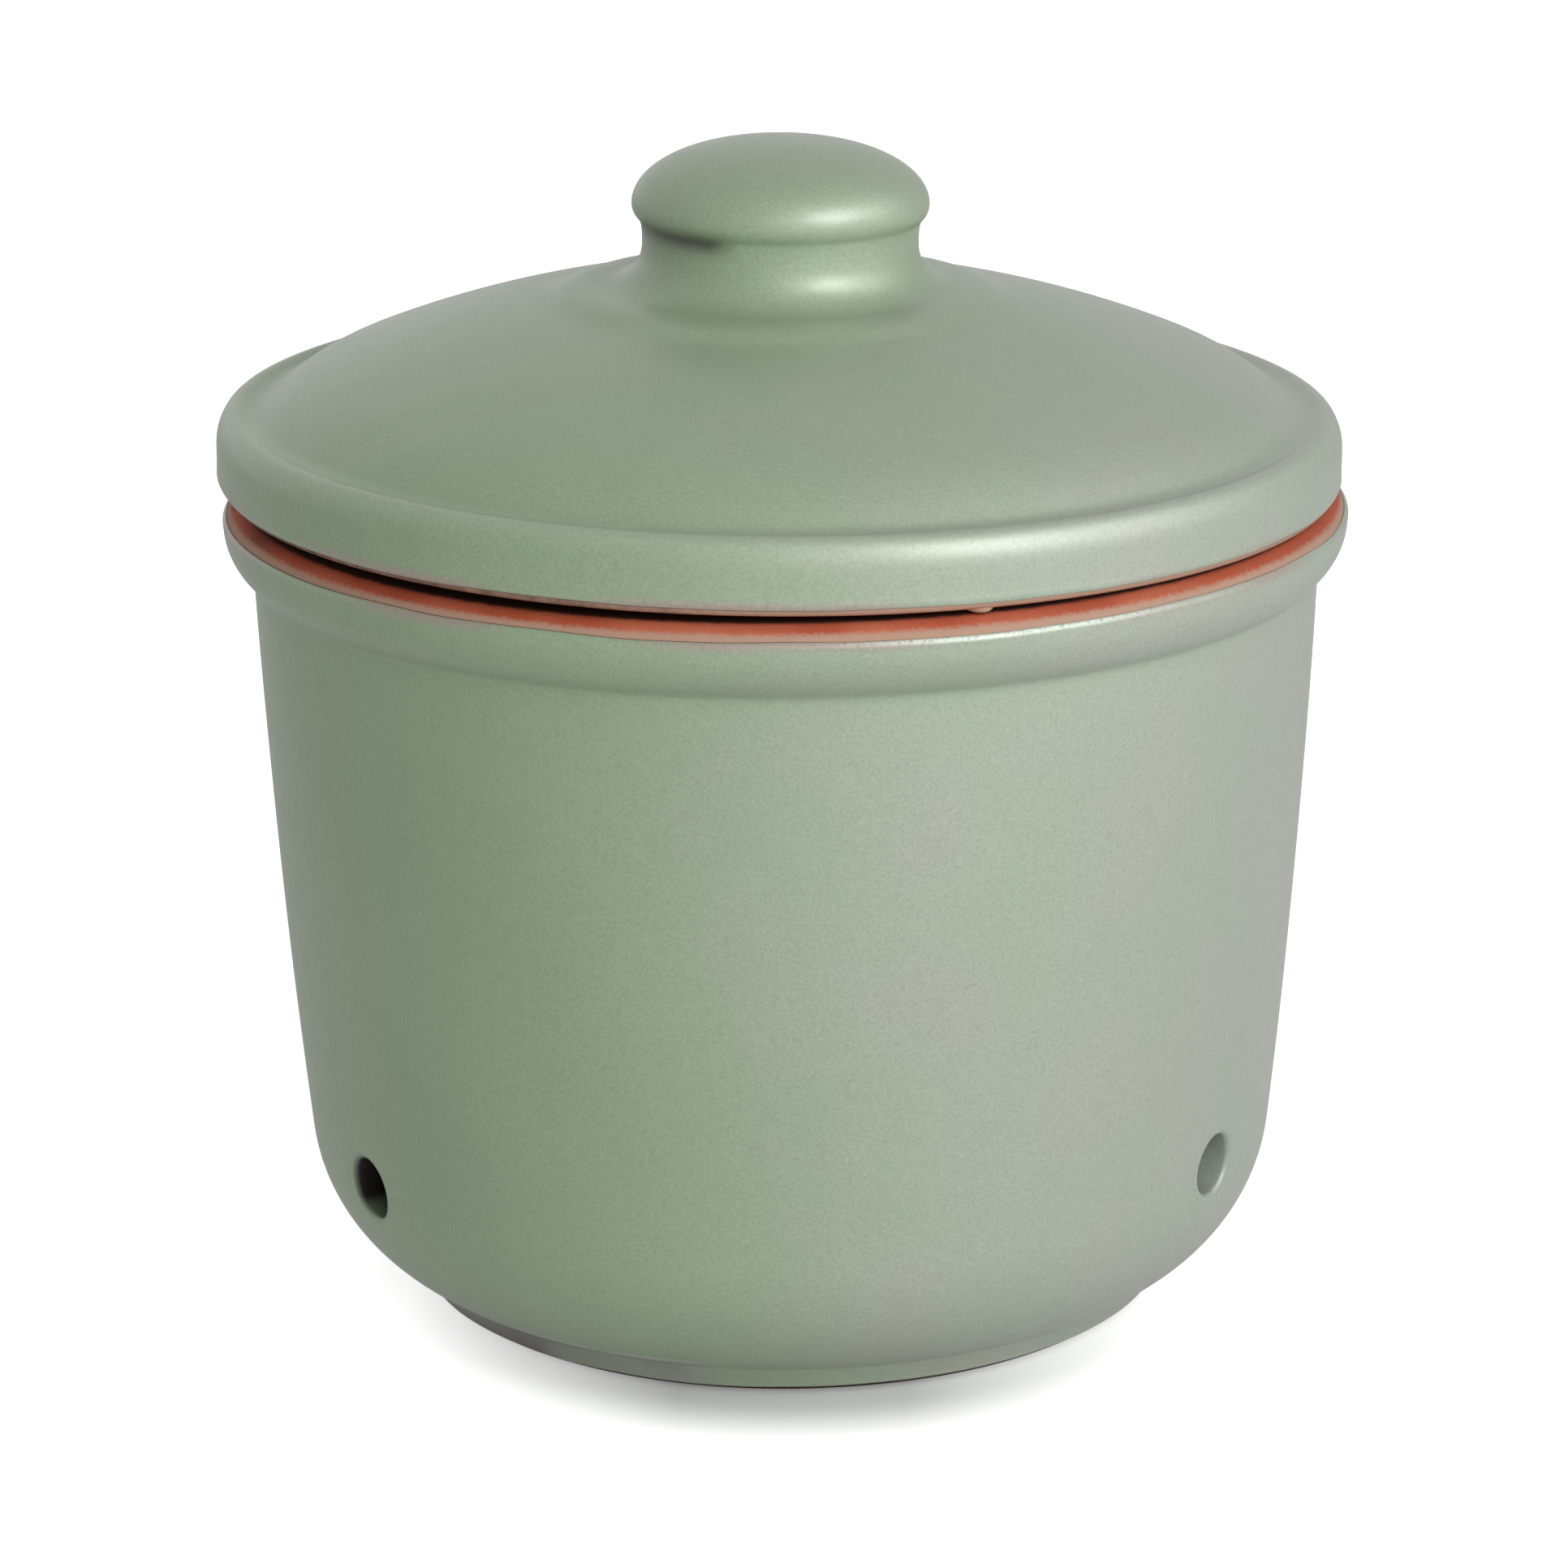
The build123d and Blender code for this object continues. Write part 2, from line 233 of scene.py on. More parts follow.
# %% Lid outline, underside and ring
ceiling = np.vstack([dome_edge, dome[1:], collar[1:]])
ceiling = (ceiling[ceiling[:, 0] < RING_INSIDE] - (0, LID_THICKNESS))[::-1]
crown_inside = straight((PINHOLE, SEAT_HEIGHT - LID_THICKNESS),
                        (KNOB_BASE, SEAT_HEIGHT - LID_THICKNESS), ceiling[0])
ring_face = straight(ceiling[-1], (RING_INSIDE, -RING_DEPTH))
ring_foot = straight((RING_INSIDE, -RING_DEPTH), (RING_OUTSIDE, -RING_DEPTH))
ring_back = straight((RING_OUTSIDE, -RING_DEPTH), (RING_OUTSIDE, 0))
locating_ring = round_corner(round_corner(ring_face, ring_foot, 1.5), ring_back, 1.5)
lid_below = np.vstack([crown_inside, ceiling[1:], locating_ring[1:]])
lid_below = round_corner(lid_below, lid_bottom, 2.0)
seat = straight((KNOB_BASE, COLLAR_TOP[1]), (KNOB_BASE, SEAT_HEIGHT), (PINHOLE, SEAT_HEIGHT))
lid_clay_line = np.vstack([round_corner(lid_below, lid_top, 1.6), collar[1:], seat[1:]])
lid_clay_line = melt(lid_clay_line, **COLLAR_SOFTNESS)
print(f"lid clay: {lid_clay_line[:, 1].min():.1f} to {lid_clay_line[:, 1].max():.1f} mm")

# %% [markdown]
# ## The knob
# The knob was thrown on its own and joined to the lid with slip. A flared base narrows
# to a neck as thick as a thumb and finger can span, and the cap over it is a flattened
# egg: its width follows the sine of an angle, and its height the cosine.

# %% Knob outline
NECK_LOW, NECK_HIGH, NECK_TOP = (24.0, 42.1), (24.0, 43.2), (24.5, 46.8)
CAP_RADIUS, CAP_WIDEST, CAP_TOP = 25.9, 49.2, 60.2
CAP_FULLNESS = 0.9
KNOB_HOLLOW, HOLLOW_TOP = 15.0, 46.8

flare = arc(NECK_LOW, (KNOB_BASE, SEAT_HEIGHT + 0.5), (0, -1))[::-1]
neck = np.vstack([straight(NECK_LOW, NECK_HIGH), arc(NECK_HIGH, NECK_TOP, (0, 1))[1:]])
tilt = np.linspace(np.pi / 2, 0, 400)
cap = np.column_stack([CAP_RADIUS * np.sin(tilt) ** CAP_FULLNESS,
                       CAP_WIDEST + (CAP_TOP - CAP_WIDEST) * np.cos(tilt)])
under_cap = arc((CAP_RADIUS, CAP_WIDEST), NECK_TOP, (0, -1))[::-1]
knob_outside = np.vstack([flare, neck[1:], under_cap[1:], cap[1:]])
hollow = round_corner(straight((0, HOLLOW_TOP), (KNOB_HOLLOW, HOLLOW_TOP)),
                      straight((KNOB_HOLLOW, HOLLOW_TOP), (KNOB_HOLLOW, SEAT_HEIGHT)), 6.0)
knob_base = straight((KNOB_HOLLOW, SEAT_HEIGHT), (KNOB_BASE, SEAT_HEIGHT), flare[0])
knob_clay_line = soften(np.vstack([hollow, knob_base[1:], knob_outside[1:]]), 0.4)
print(f"knob clay: {np.ptp(knob_clay_line[:, 1]):.1f} mm high")

# %% [markdown]
# ## Choosing the rows
# On the wheel, the outline becomes a surface of rings. A ring is needed every few
# millimetres where the outline runs straight, and much closer where it bends, or the
# edges would look cut with a knife. So a row's worth of outline is used up both by
# distance and by turning.

# %% Rows along an outline
def heading(outline, width):
    """Even distances along the outline, and its direction at each, in radians and without
    jumps: the angle of the step from point to point, once softened."""
    ahead = np.unwrap(np.arctan2(*np.gradient(soften(outline, width), axis=0).T[::-1]))
    return np.linspace(0, travel(outline)[-1], len(ahead)), ahead


def choose_rows(outline, spacing, bend=5.0, start=0.0, end=None):
    """Distances along the outline at which rings lie: equal shares of
    distance / spacing + turning / bend, with the turning in degrees."""
    even, ahead = heading(outline, 0.25)
    turned = np.concatenate([[0], np.cumsum(np.abs(np.diff(np.degrees(ahead))))])
    used = even / spacing + turned / bend
    first, last = np.interp([start, even[-1] if end is None else end], even, used)
    return np.interp(np.linspace(first, last, 2 + int(last - first)), used, even)


def level_rows(outline, rows, heights):
    """The chosen rows, with those between the lowest and highest of the given heights
    replaced by one row at each of those heights, however the outline is travelled."""
    chosen = along(outline, rows)[:, 1]
    near = np.flatnonzero((chosen > heights[0] - 1) & (chosen < heights[-1] + 1))
    stretch = np.linspace(rows[near[0]], rows[near[-1]], 4000)
    climb = along(outline, stretch)[:, 1]
    order = np.argsort(climb)
    level = np.sort(np.interp(heights, climb[order], stretch[order]))
    inside = (rows > level[0] - 0.5) & (rows < level[-1] + 0.5)
    first = np.argmax(inside)
    return np.concatenate([rows[:first], level, rows[first + inside.sum():]])


# %% [markdown]
# ## Turning the outline into a surface
# Each ring is a circle of 480 points. A grid of point numbers, one row per ring and one
# column per angle, is all that is needed to find the four corners of every face.

# %% Rings and faces
COLUMNS = 480
ANGLES = np.arange(COLUMNS) * 2 * np.pi / COLUMNS


def carry_round(profile, angles=ANGLES):
    """Rings from an outline: x = radius * cos(angle), y = radius * sin(angle), z = height.
    The outline may be one for all angles, or differ from angle to angle."""
    profile = profile if profile.ndim == 3 else profile[:, None]
    radius, height = profile[..., 0], profile[..., 1]
    rings = [radius * np.cos(angles), radius * np.sin(angles), height + 0 * angles]
    return np.stack(rings, axis=-1)


def sheet_faces(numbers):
    """The faces of a grid of point numbers: each point, its right neighbour, the one
    above that, and the one above itself."""
    return np.stack([numbers[:-1, :-1], numbers[:-1, 1:],
                     numbers[1:, 1:], numbers[1:, :-1]], axis=-1)


def wrapped(numbers):
    """The grid with its first column again at the end, so that the rings close."""
    return np.hstack([numbers, numbers[:, :1]])


def pole_faces(pole, ring):
    """Triangles from one middle point to each pair of neighbours on a ring."""
    return np.stack([np.full(len(ring), pole), np.roll(ring, -1), ring], axis=-1)


# %% Closed skins
def number_rings(rings):
    """The grid of point numbers of a stack of rings."""
    return np.arange(rings.shape[0] * rings.shape[1]).reshape(rings.shape[:2])


def closed_tube(rings):
    """The faces of rings of which the last joins the first again."""
    grid = number_rings(rings)
    return sheet_faces(wrapped(np.vstack([grid, grid[:1]])))


def closed_skin(rings, first_height, last_height):
    """Rings closed at either end by triangles to a point in the middle, the pole. Gives
    all points, the faces between the rings, and those of the two caps."""
    points = np.vstack([rings.reshape(-1, 3), [[0, 0, first_height], [0, 0, last_height]]])
    grid = number_rings(rings)
    caps = [pole_faces(len(points) - 2, grid[0]),
            pole_faces(len(points) - 1, grid[-1])[:, [0, 2, 1]]]
    return points, sheet_faces(wrapped(grid)), *caps


# %% [markdown]
# ## From arrays to a piece
# A mesh wants its points in metres and its faces as lists of point numbers. Each piece
# also carries marks on its points, for its finish to read. "pool" says how much glaze
# gathers there, and "edge" how many millimetres the point lies from the edge of the
# glaze. Other marks come where they are needed, and one that a piece doesn't carry reads
# as 0. The piece then stands for its measured solid and moves with the same body.

# %% Marks and pieces
FAR_OFF = 50.0


def on_points(values, poles=()):
    """A mark for every point, from one value per ring, or one per ring and column, and
    then those of the two poles."""
    if values.ndim == 1:
        values = np.repeat(values, COLUMNS)
    return np.append(values.ravel(), poles)


def make_piece(name, points, faces, marks, node, body, finish):
    """A mesh object from points in millimetres and arrays of faces."""
    faces = [part.reshape(-1, part.shape[-1]) for part in faces]
    corners = [face for part in faces for face in part.tolist()]
    mesh = bpy.data.meshes.new(name)
    mesh.from_pydata((points * 0.001).tolist(), [], corners)
    mesh.shade_smooth()
    for mark, values in marks.items():
        attribute = mesh.attributes.new(mark, "FLOAT", "POINT")
        attribute.data.foreach_set("value", values.astype(np.float32))
    mesh.materials.append(finish)
    piece = bpy.data.objects.new(name, mesh)
    bpy.context.scene.collection.objects.link(piece)
    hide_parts(node)
    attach(piece, body)
    triangles = sum(len(part) * (part.shape[1] - 2) for part in faces)
    print(f"{name}: {triangles} triangles, {np.round(np.ptp(points, axis=0), 1)} mm")


# %% [markdown]
# ## Where glaze gathers
# Glaze runs while it melts. It leaves the crests thin and pale, and lies thick and deep
# green in the creases. How sharply the outline turns says which is which: left, round
# the outside of the pot, is a crest, and right is a crease.

# %% Gathering glaze
def gathering(outline, rows, width=2.2):
    """From -1 on a sharp crest to 1 in a tight crease: minus the turning per millimetre,
    averaged over a short stretch and pressed between the two."""
    even, ahead = heading(outline, width)
    return -np.tanh(3.0 * np.interp(rows, even, np.gradient(ahead, even)))


# %% [markdown]
# ## The coat of glaze
# Glaze is a skin of glass half a millimetre thick. Its outside is the clay's outline
# moved sideways by its thickness, and at its edge it ends in a rounded lip, a little
# thicker than the rest, where surface tension pulled it back. The edge was wiped by
# hand, so it wanders up and down by a few tenths of a millimetre.

# %% Coat outlines
GLAZE = 0.42
JAR_LIP, LID_LIP = 0.14, 0.06
CLING = 0.04


def glaze_thickness(inward, lip):
    """Thickness at a distance inward from the glaze edge: a quarter of an ellipse over
    the first 0.8 mm, and a low swelling, the lip, 1 mm in."""
    rounded = np.sqrt(1 - (1 - np.clip(inward / 0.8, 0, 1)) ** 2)
    return CLING + (GLAZE - CLING) * rounded + lip * np.exp(-((inward - 1.0) / 0.5) ** 2)


def laid_on(outline, places, thickness):
    """Points at the given distances along the outline, moved out by the thickness."""
    out = -left_of(outline)
    far = travel(outline)
    arrows = np.stack([np.interp(places, far, out[:, axis]) for axis in (0, 1)], axis=-1)
    arrows /= np.linalg.norm(arrows, axis=-1, keepdims=True)
    return along(outline, places) + arrows * np.expand_dims(thickness, -1)


def wandering(seed, size):
    """A slow, even wander round the circle: waves of 3 to 40 to the turn, each weaker
    than the last and starting at a random angle, scaled to a given standard deviation."""
    chance = np.random.default_rng(seed)
    waves = np.arange(3, 41)[:, None]
    heights = chance.normal(size=(38, 1)) / waves ** 1.3
    starts = chance.uniform(0, 2 * np.pi, (38, 1))
    wander = (heights * np.cos(waves * ANGLES + starts)).sum(axis=0)
    return size * wander / wander.std()


# %% [markdown]
# ## A thrown pot is never quite round
# Shrinking in the kiln pulls a pot a little out of true. A slow ripple of a tenth of a
# millimetre is too small to see as shape, but it makes reflections on the wall waver.

# %% Ripple
RIPPLE = 0.09


def kiln_ripple(points):
    """Every point drawn inwards by up to two ripples: 1 + the mean of three slow waves
    in angle and height, times the ripple."""
    turn = np.arctan2(points[:, 1], points[:, 0])
    height = points[:, 2]
    waves = (np.sin(2 * turn + height / 31) + np.sin(5 * turn - height / 23 + 1)
             + np.sin(9 * turn + height / 12 + 2)) / 3
    radius = np.hypot(points[:, 0], points[:, 1])
    share = 1 - RIPPLE * (1 + waves) * np.clip(radius / 60, 0, 1) / np.maximum(radius, 1)
    return points * np.column_stack([share, share, np.ones_like(share)])


# %% [markdown]
# ## Drilling the vent holes
# The holes were drilled through the leather-hard wall and glazed inside. A hole can't
# simply be cut from a grid of rings, as a boolean cut would leave ragged shading round
# it. Instead a block of faces is left out of the grid, and a sleeve of rings takes its
# place: from the edge of the block in to a circle, over the lip, through the wall, and
# out again to the same block on the far side. Every ring has as many points as the
# block's edge, so nothing has to be welded. Inside, the holes are darkened with painted
# shade, most in the left hole, which the lamps don't reach, and least in the right one.
# A mark on the points says how much. A vent's three figures are its turn to the right of
# the front in degrees, its height, and the painted shade in it.

# %% Vent places
VENT_RADIUS = 5.5
VENTS = {"left": (-58.2, 30.6, 1.0), "right": (58.2, 33.9, 0.16), "back": (180.0, 32.2, 0.7)}
VENT_SPACING = 1.2
VENT_ROWS = np.arange(18.0, 48.1, VENT_SPACING)
BLOCK_ROWS, BLOCK_COLUMNS = 15, 16


def vent_block(turn, height):
    """The block of rows and columns around a vent: its first row among the level rows,
    and its columns, counted from the angle 90 degrees to the right of the front."""
    first_row = int(round((height - VENT_ROWS[0]) / VENT_SPACING - BLOCK_ROWS / 2))
    middle = (turn - 90) / 360 * COLUMNS
    first_column = int(round(middle - BLOCK_COLUMNS / 2))
    return first_row, np.arange(first_column, first_column + BLOCK_COLUMNS + 1) % COLUMNS


def block_edge(numbers):
    """The numbers round a block: along the bottom, up the right, back along the top and
    down the left."""
    return np.concatenate([numbers[0, :-1], numbers[:-1, -1],
                           numbers[-1, :0:-1], numbers[:0:-1, 0]])


# %% Vent sleeves
def wall_of(outline, low=15.0, high=50.0):
    """A function that gives the radius of a wall at a height near the vents, read off its
    outline."""
    wall = outline[(outline[:, 1] > low) & (outline[:, 1] < high)]
    wall = wall[np.argsort(wall[:, 1])]
    return lambda height: np.interp(height, wall[:, 1], wall[:, 0])


def vent_sleeve(points, edge_out, edge_in, turn, height, rings, walls):
    """New points and faces that join two block edges through a hole. A ring is (wall,
    share, radius, set-back, painted shade): it lies a share of the way from the block's edge
    to a circle of that radius. Its depth along the hole is that of the wall's surface,
    sqrt(radius(z)^2 - across^2), less the set-back. Its painted shade is less towards the
    hole's bottom."""
    turn = np.radians(turn)
    axis = np.array([np.sin(turn), -np.cos(turn)])
    right = np.array([np.cos(turn), np.sin(turn)])
    made, bare = [], []
    for wall, share, radius, set_back, ring_bare in rings:
        edge = points[edge_in if wall == "inner" else edge_out]
        across, up = edge[:, :2] @ right, edge[:, 2] - height
        angle = np.arctan2(up, across)
        across = (1 - share) * across + share * radius * np.cos(angle)
        up = (1 - share) * up + share * radius * np.sin(angle)
        depth = np.sqrt(walls[wall](height + up) ** 2 - across ** 2) - set_back
        flat = across[:, None] * right + depth[:, None] * axis
        made.append(np.column_stack([flat, height + up]))
        # Painted shade in the hole, less towards its bottom.
        bare.append(ring_bare * np.clip(1.9 + 1.5 * up / VENT_RADIUS, 0.15, 1))
    numbers = len(points) + np.arange(len(rings) * len(edge_out)).reshape(len(rings), -1)
    loops = np.vstack([edge_out, numbers, edge_in])
    return np.vstack(made), sheet_faces(wrapped(loops)), np.concatenate(bare)


def drill(points, marks, grid, faces, outer_rows, inner_rows, rings, walls):
    """Leaves out the blocks of the three vents on both sides of the wall and adds their
    sleeves. The rows are the level rows' places in the grid, lowest first."""
    keep = np.ones(faces.shape[:2], dtype=bool)
    sleeves = []
    for turn, height, vent_shade in VENTS.values():
        first, columns = vent_block(turn, height)
        edges = []
        for rows in (outer_rows, inner_rows):
            block = rows[first:first + BLOCK_ROWS + 1]
            keep[min(block):max(block), columns[:-1, None]] = False
            edges.append(block_edge(grid[np.ix_(block, columns)]))
        made, sleeve, bare = vent_sleeve(points, *edges, turn, height, rings, walls)
        points = np.vstack([points, made])
        marks["bare"] = np.append(marks["bare"], vent_shade * bare)
        sleeves.append(sleeve)
    for mark, values in marks.items():
        plain = np.full(len(points) - len(values), FAR_OFF if mark == "edge" else 0.0)
        marks[mark] = np.append(values, plain)
    return points, marks, [faces[keep], *sleeves]


# %% [markdown]
# ## Colours as written
# Colours are noted as they look on a screen, from 0 to 255. A renderer adds up light, so
# each is turned into its share of light first.

# %% Colours
def colour(red, green, blue):
    """Screen values as shares of light: ((value / 255 + 0.055) / 1.055) ** 2.4."""
    screen = np.array([red, green, blue]) / 255
    return (*((screen + 0.055) / 1.055) ** 2.4, 1.0)


SAGE_GREEN = colour(134, 154, 123)
SAGE_MOSS = colour(130, 151, 119)
SAGE_GREY = colour(150, 160, 145)
SAGE_MAUVE = colour(154, 159, 147)
POOLED_GREEN = colour(128, 149, 118)
CREST_GREY = colour(156, 168, 150)
THIN_MAUVE = colour(150, 138, 126)
PINHOLE_BROWN = colour(92, 96, 80)
# Wiped grey glaze of the foot, darkened as painted shade on its side and lightened as painted
# light on its top edge
FOOT_GREY_SHADE = colour(104, 102, 96)
FOOT_EDGE_LIT_GREY = colour(184, 184, 178)
# Painted shadow under the cap
CAP_SHADOW = colour(72, 75, 64)
# Painted highlight along the rim's glaze edge
GLINT_WHITE = colour(192, 199, 190)
BROWN_EDGE_LINE = colour(104, 78, 62)
# Painted shade inside the vents
VENT_SHADE = colour(26, 20, 17)
RED_CLAY = colour(168, 78, 50)
CLAY_SHADE = colour(128, 62, 42)
CLAY_DUST = colour(182, 98, 70)
OVERSPRAY = colour(172, 138, 118)
# Painted shadow and shade on the clay
PAINTED_SHADE_CLAY = colour(54, 34, 26)
print("sage as light:", np.round(SAGE_GREY[:3], 3))

# %% [markdown]
# ## Building a finish from nodes
# A finish is a chain of small steps: noises of different grain, laid over each other,
# and mixed between colours that the real glaze shows. All noises are measured on the
# piece itself, in metres, so their grain keeps its size whatever the piece.

# %% Steps in a chain of nodes
class Chain:
    """The nodes of a material or of the surroundings, added step by step."""

    def __init__(self, owner):
        owner.use_nodes = True
        self.nodes, self.links = owner.node_tree.nodes, owner.node_tree.links

    def step(self, kind, inputs, output=0, **settings):
        """One node: plain values are set on its sockets, and other sockets linked."""
        node = self.nodes.new(kind)
        for setting, value in settings.items():
            setattr(node, setting, value)
        for socket, value in inputs.items():
            if isinstance(value, bpy.types.NodeSocket):
                self.links.new(value, node.inputs[socket])
            else:
                node.inputs[socket].default_value = value
        return node.outputs[output]

    def math(self, operation, first, second=0.0):
        """Two values added, multiplied and so on."""
        return self.step("ShaderNodeMath", {0: first, 1: second}, operation=operation)

    def between(self, value, low, high):
        """0 at low and past it, 1 at high and past it, and a smooth step on the way."""
        return self.step("ShaderNodeMapRange",
                         {"Value": value, "From Min": low, "From Max": high},
                         interpolation_type="SMOOTHSTEP")

    def rescale(self, value, start, end, low=0.0, high=1.0):
        """A value from low to high, turned evenly into one from start to end."""
        return self.step("ShaderNodeMapRange", {"Value": value, "From Min": low, "From Max": high,
                                                "To Min": start, "To Max": end})


# %% Steps for a finish
class Finish(Chain):
    """A material on the Principled shader, with its noises on Object coordinates."""

    def __init__(self, name, **sockets):
        self.material = bpy.data.materials.new(name)
        super().__init__(self.material)
        self.shader = self.nodes["Principled BSDF"]
        for socket, value in sockets.items():
            self.shader.inputs[socket.replace("_", " ")].default_value = value
        self.place = self.nodes.new("ShaderNodeTexCoord").outputs["Object"]

    def metres(self, axis):
        """How far along an axis the point lies."""
        return self.step("ShaderNodeSeparateXYZ", {"Vector": self.place}, axis)

    def grain(self, size_mm, octaves=2.0, harshness=0.5):
        """Noise with spots about so many millimetres across."""
        return self.step("ShaderNodeTexNoise", {"Vector": self.place, "Scale": 1000 / size_mm,
                                                "Detail": octaves, "Roughness": harshness})

    def specks(self, spacing_mm, size_mm):
        """1 at rare round specks: near to the points of a scattered lattice."""
        lattice = {"Vector": self.place, "Scale": 1000 / spacing_mm}
        near = self.step("ShaderNodeTexVoronoi", lattice)
        return self.between(near, 0.5 * size_mm / spacing_mm, 0.2 * size_mm / spacing_mm)

    def mark(self, name):
        """The value that the piece's points carry under this name."""
        return self.step("ShaderNodeAttribute", {}, "Fac", attribute_name=name)

    def blend(self, share, first, second):
        """One colour going over into another by a share from 0 to 1."""
        return self.step("ShaderNodeMix", {"Factor": share, "A": first, "B": second},
                         "Result", data_type="RGBA")

    def tint(self, colours, value, low, high):
        """A colour made darker or lighter: times a value between low and high."""
        scale = self.rescale(value, low, high)
        return self.step("ShaderNodeVectorMath", {0: colours, "Scale": scale}, operation="SCALE")

    def relief(self, height, depth_mm, under=None):
        """Fine relief so many millimetres deep, laid over any relief already there."""
        inputs = {"Height": height, "Strength": 1.0, "Distance": depth_mm * 0.001}
        if under is not None:
            inputs["Normal"] = under
        return self.step("ShaderNodeBump", inputs, "Normal")

    def lead(self, socket, value):
        """Links a value to the shader itself."""
        self.links.new(value, self.shader.inputs[socket])


# %% [markdown]
# ## The sage glaze
# A satin glaze is glass with fine crystals in it. Light goes in and comes out softly, and
# highlights are broad. Slow clouds of green and grey lie in it from the kiln's flame, a
# fine grain from the crystals, and here and there a pinhole where a bubble burst. Towards
# the right, the side the lamps light, it turns greyer and paler, partly from the flame and
# partly as painted sheen. It is deep green in creases, pale on crests, and mauve at the
# rim, where the red clay shows through a thin edge. On the front right a painted highlight
# runs along the glaze edge, and towards the left a thin brown line. The foot was wiped and
# is grey, with painted shade on its side and a painted strip of light on its top edge at
# the left front. Painted shadow darkens the neck under the cap on the left, and painted
# shade the inside of the vents.

# %% Clouds in the glaze
sage = Finish("sage_glaze", Specular_IOR_Level=0.5, Coat_Weight=1.0, Coat_Roughness=0.62,
              Coat_IOR=1.5)
to_the_right, height = sage.metres("X"), sage.metres("Z")
# Towards the right, the side the lamps light, the glaze turns greyer: partly its own colour from
# the flame, partly painted sheen.
drifting = sage.math("ADD", to_the_right, sage.math("MULTIPLY", sage.grain(60, 2), 0.1))
flame_and_sheen = sage.math("MULTIPLY", sage.between(drifting, -0.02, 0.12),
                  sage.rescale(height, 1.0, 0.5, 0.155, 0.18))
green_side = sage.blend(sage.between(sage.grain(30, 3), 0.35, 0.65), SAGE_GREEN, SAGE_MOSS)
grey_side = sage.blend(sage.between(sage.grain(24, 3), 0.4, 0.62), SAGE_GREY, SAGE_MAUVE)
body_colour = sage.blend(flame_and_sheen, green_side, grey_side)

# %% Creases, crests and edges of the glaze
gathered = sage.mark("pool")
creased = sage.blend(sage.between(gathered, 0.05, 1.1), body_colour, POOLED_GREEN)
crested = sage.blend(sage.between(gathered, -0.3, -1.2), creased, CREST_GREY)
thin_patches = sage.between(sage.grain(45, 1), 0.4, 0.6)
thin_edge = sage.math("MULTIPLY", sage.between(sage.mark("edge"), 2.2, 0.5), thin_patches)
mauve = sage.blend(thin_edge, crested, THIN_MAUVE)
# A painted highlight along the rim's glaze edge, on the front right.
roll = sage.math("MULTIPLY", sage.mark("roll"), sage.between(sage.grain(0.6, 2), 0.3, 0.5))
glinted = sage.blend(roll, mauve, GLINT_WHITE)
# A thin brown line along the very edge of the glaze, towards the left.
brown_edge = sage.math("MULTIPLY", sage.between(sage.mark("edge"), 0.22, 0.05),
                 sage.between(to_the_right, 0.03, -0.01))
edged = sage.blend(brown_edge, glinted, BROWN_EDGE_LINE)

# %% The wiped foot, with painted shade and light
WIPED_SHADED_BELOW, LIT_BELOW = (0.0072, 0.0066), (0.0086, 0.0076)

# On the left front the foot's side gets painted shade and the strip above it painted light; the
# grey is partly the wiped glaze.
wiped_shaded_side = sage.between(drifting, 0.025, 0.006)
lit_band = sage.math("MULTIPLY", wiped_shaded_side, sage.between(height, *LIT_BELOW))
wiped_shaded_band = sage.math("MULTIPLY", wiped_shaded_side, sage.between(height, *WIPED_SHADED_BELOW))
footed = sage.blend(wiped_shaded_band, sage.blend(lit_band, edged, FOOT_EDGE_LIT_GREY), FOOT_GREY_SHADE)

# %% Grain, pinholes, painted shadow under the cap and painted shade in the vents
crystal = sage.grain(0.6, 3, 0.65)
grained = sage.tint(footed, crystal, 0.68, 1.32)
pitted = sage.blend(sage.specks(26, 0.9), grained, PINHOLE_BROWN)
# Painted shadow under the cap, on the left of the neck.
cap_shadowed = sage.blend(sage.mark("cap_shadow"), pitted, CAP_SHADOW)
# Painted shade inside the vents.
sage.lead("Base Color", sage.blend(sage.mark("bare"), cap_shadowed, VENT_SHADE))
sage.lead("Roughness", sage.rescale(sage.grain(6, 3), 0.34, 0.44))
orange_peel = sage.relief(sage.grain(3.5, 2), 0.012)
sage.lead("Normal", sage.relief(crystal, 0.006, orange_peel))
print(f"sage glaze: {len(sage.nodes)} nodes")

# %% [markdown]
# ## The red clay
# Unglazed earthenware is dull and open. Grog, which is ground fired clay, gives it a sandy
# grain of lighter and darker crumbs. A breath of glaze drifted on to the clay next to the
# sprayed coat and left it dusty and pale, for a millimetre or so, with a grainy edge.
# In the gap under the lid, in the vents, along the lid's edge on the left and in a line at
# the foot, the clay is darkened in patches with painted shadow and shade. On clay, a mark
# says how dark.

# %% Red clay
clay = Finish("red_clay", Roughness=0.85, Specular_IOR_Level=0.3)
fired = clay.blend(clay.between(clay.grain(22, 3), 0.35, 0.65), RED_CLAY, CLAY_DUST)
clouded = clay.blend(clay.between(clay.grain(60, 2), 0.55, 0.75), fired, CLAY_SHADE)
grog = clay.grain(0.6, 3, 0.65)
sandy = clay.tint(clouded, grog, 0.82, 1.18)
crumbs = clay.math("MULTIPLY", clay.grain(0.9, 3, 0.7), 1.6)
dusty = clay.between(clay.math("ADD", clay.mark("edge"), crumbs), 2.7, 1.5)
dusted = clay.blend(dusty, sandy, OVERSPRAY)
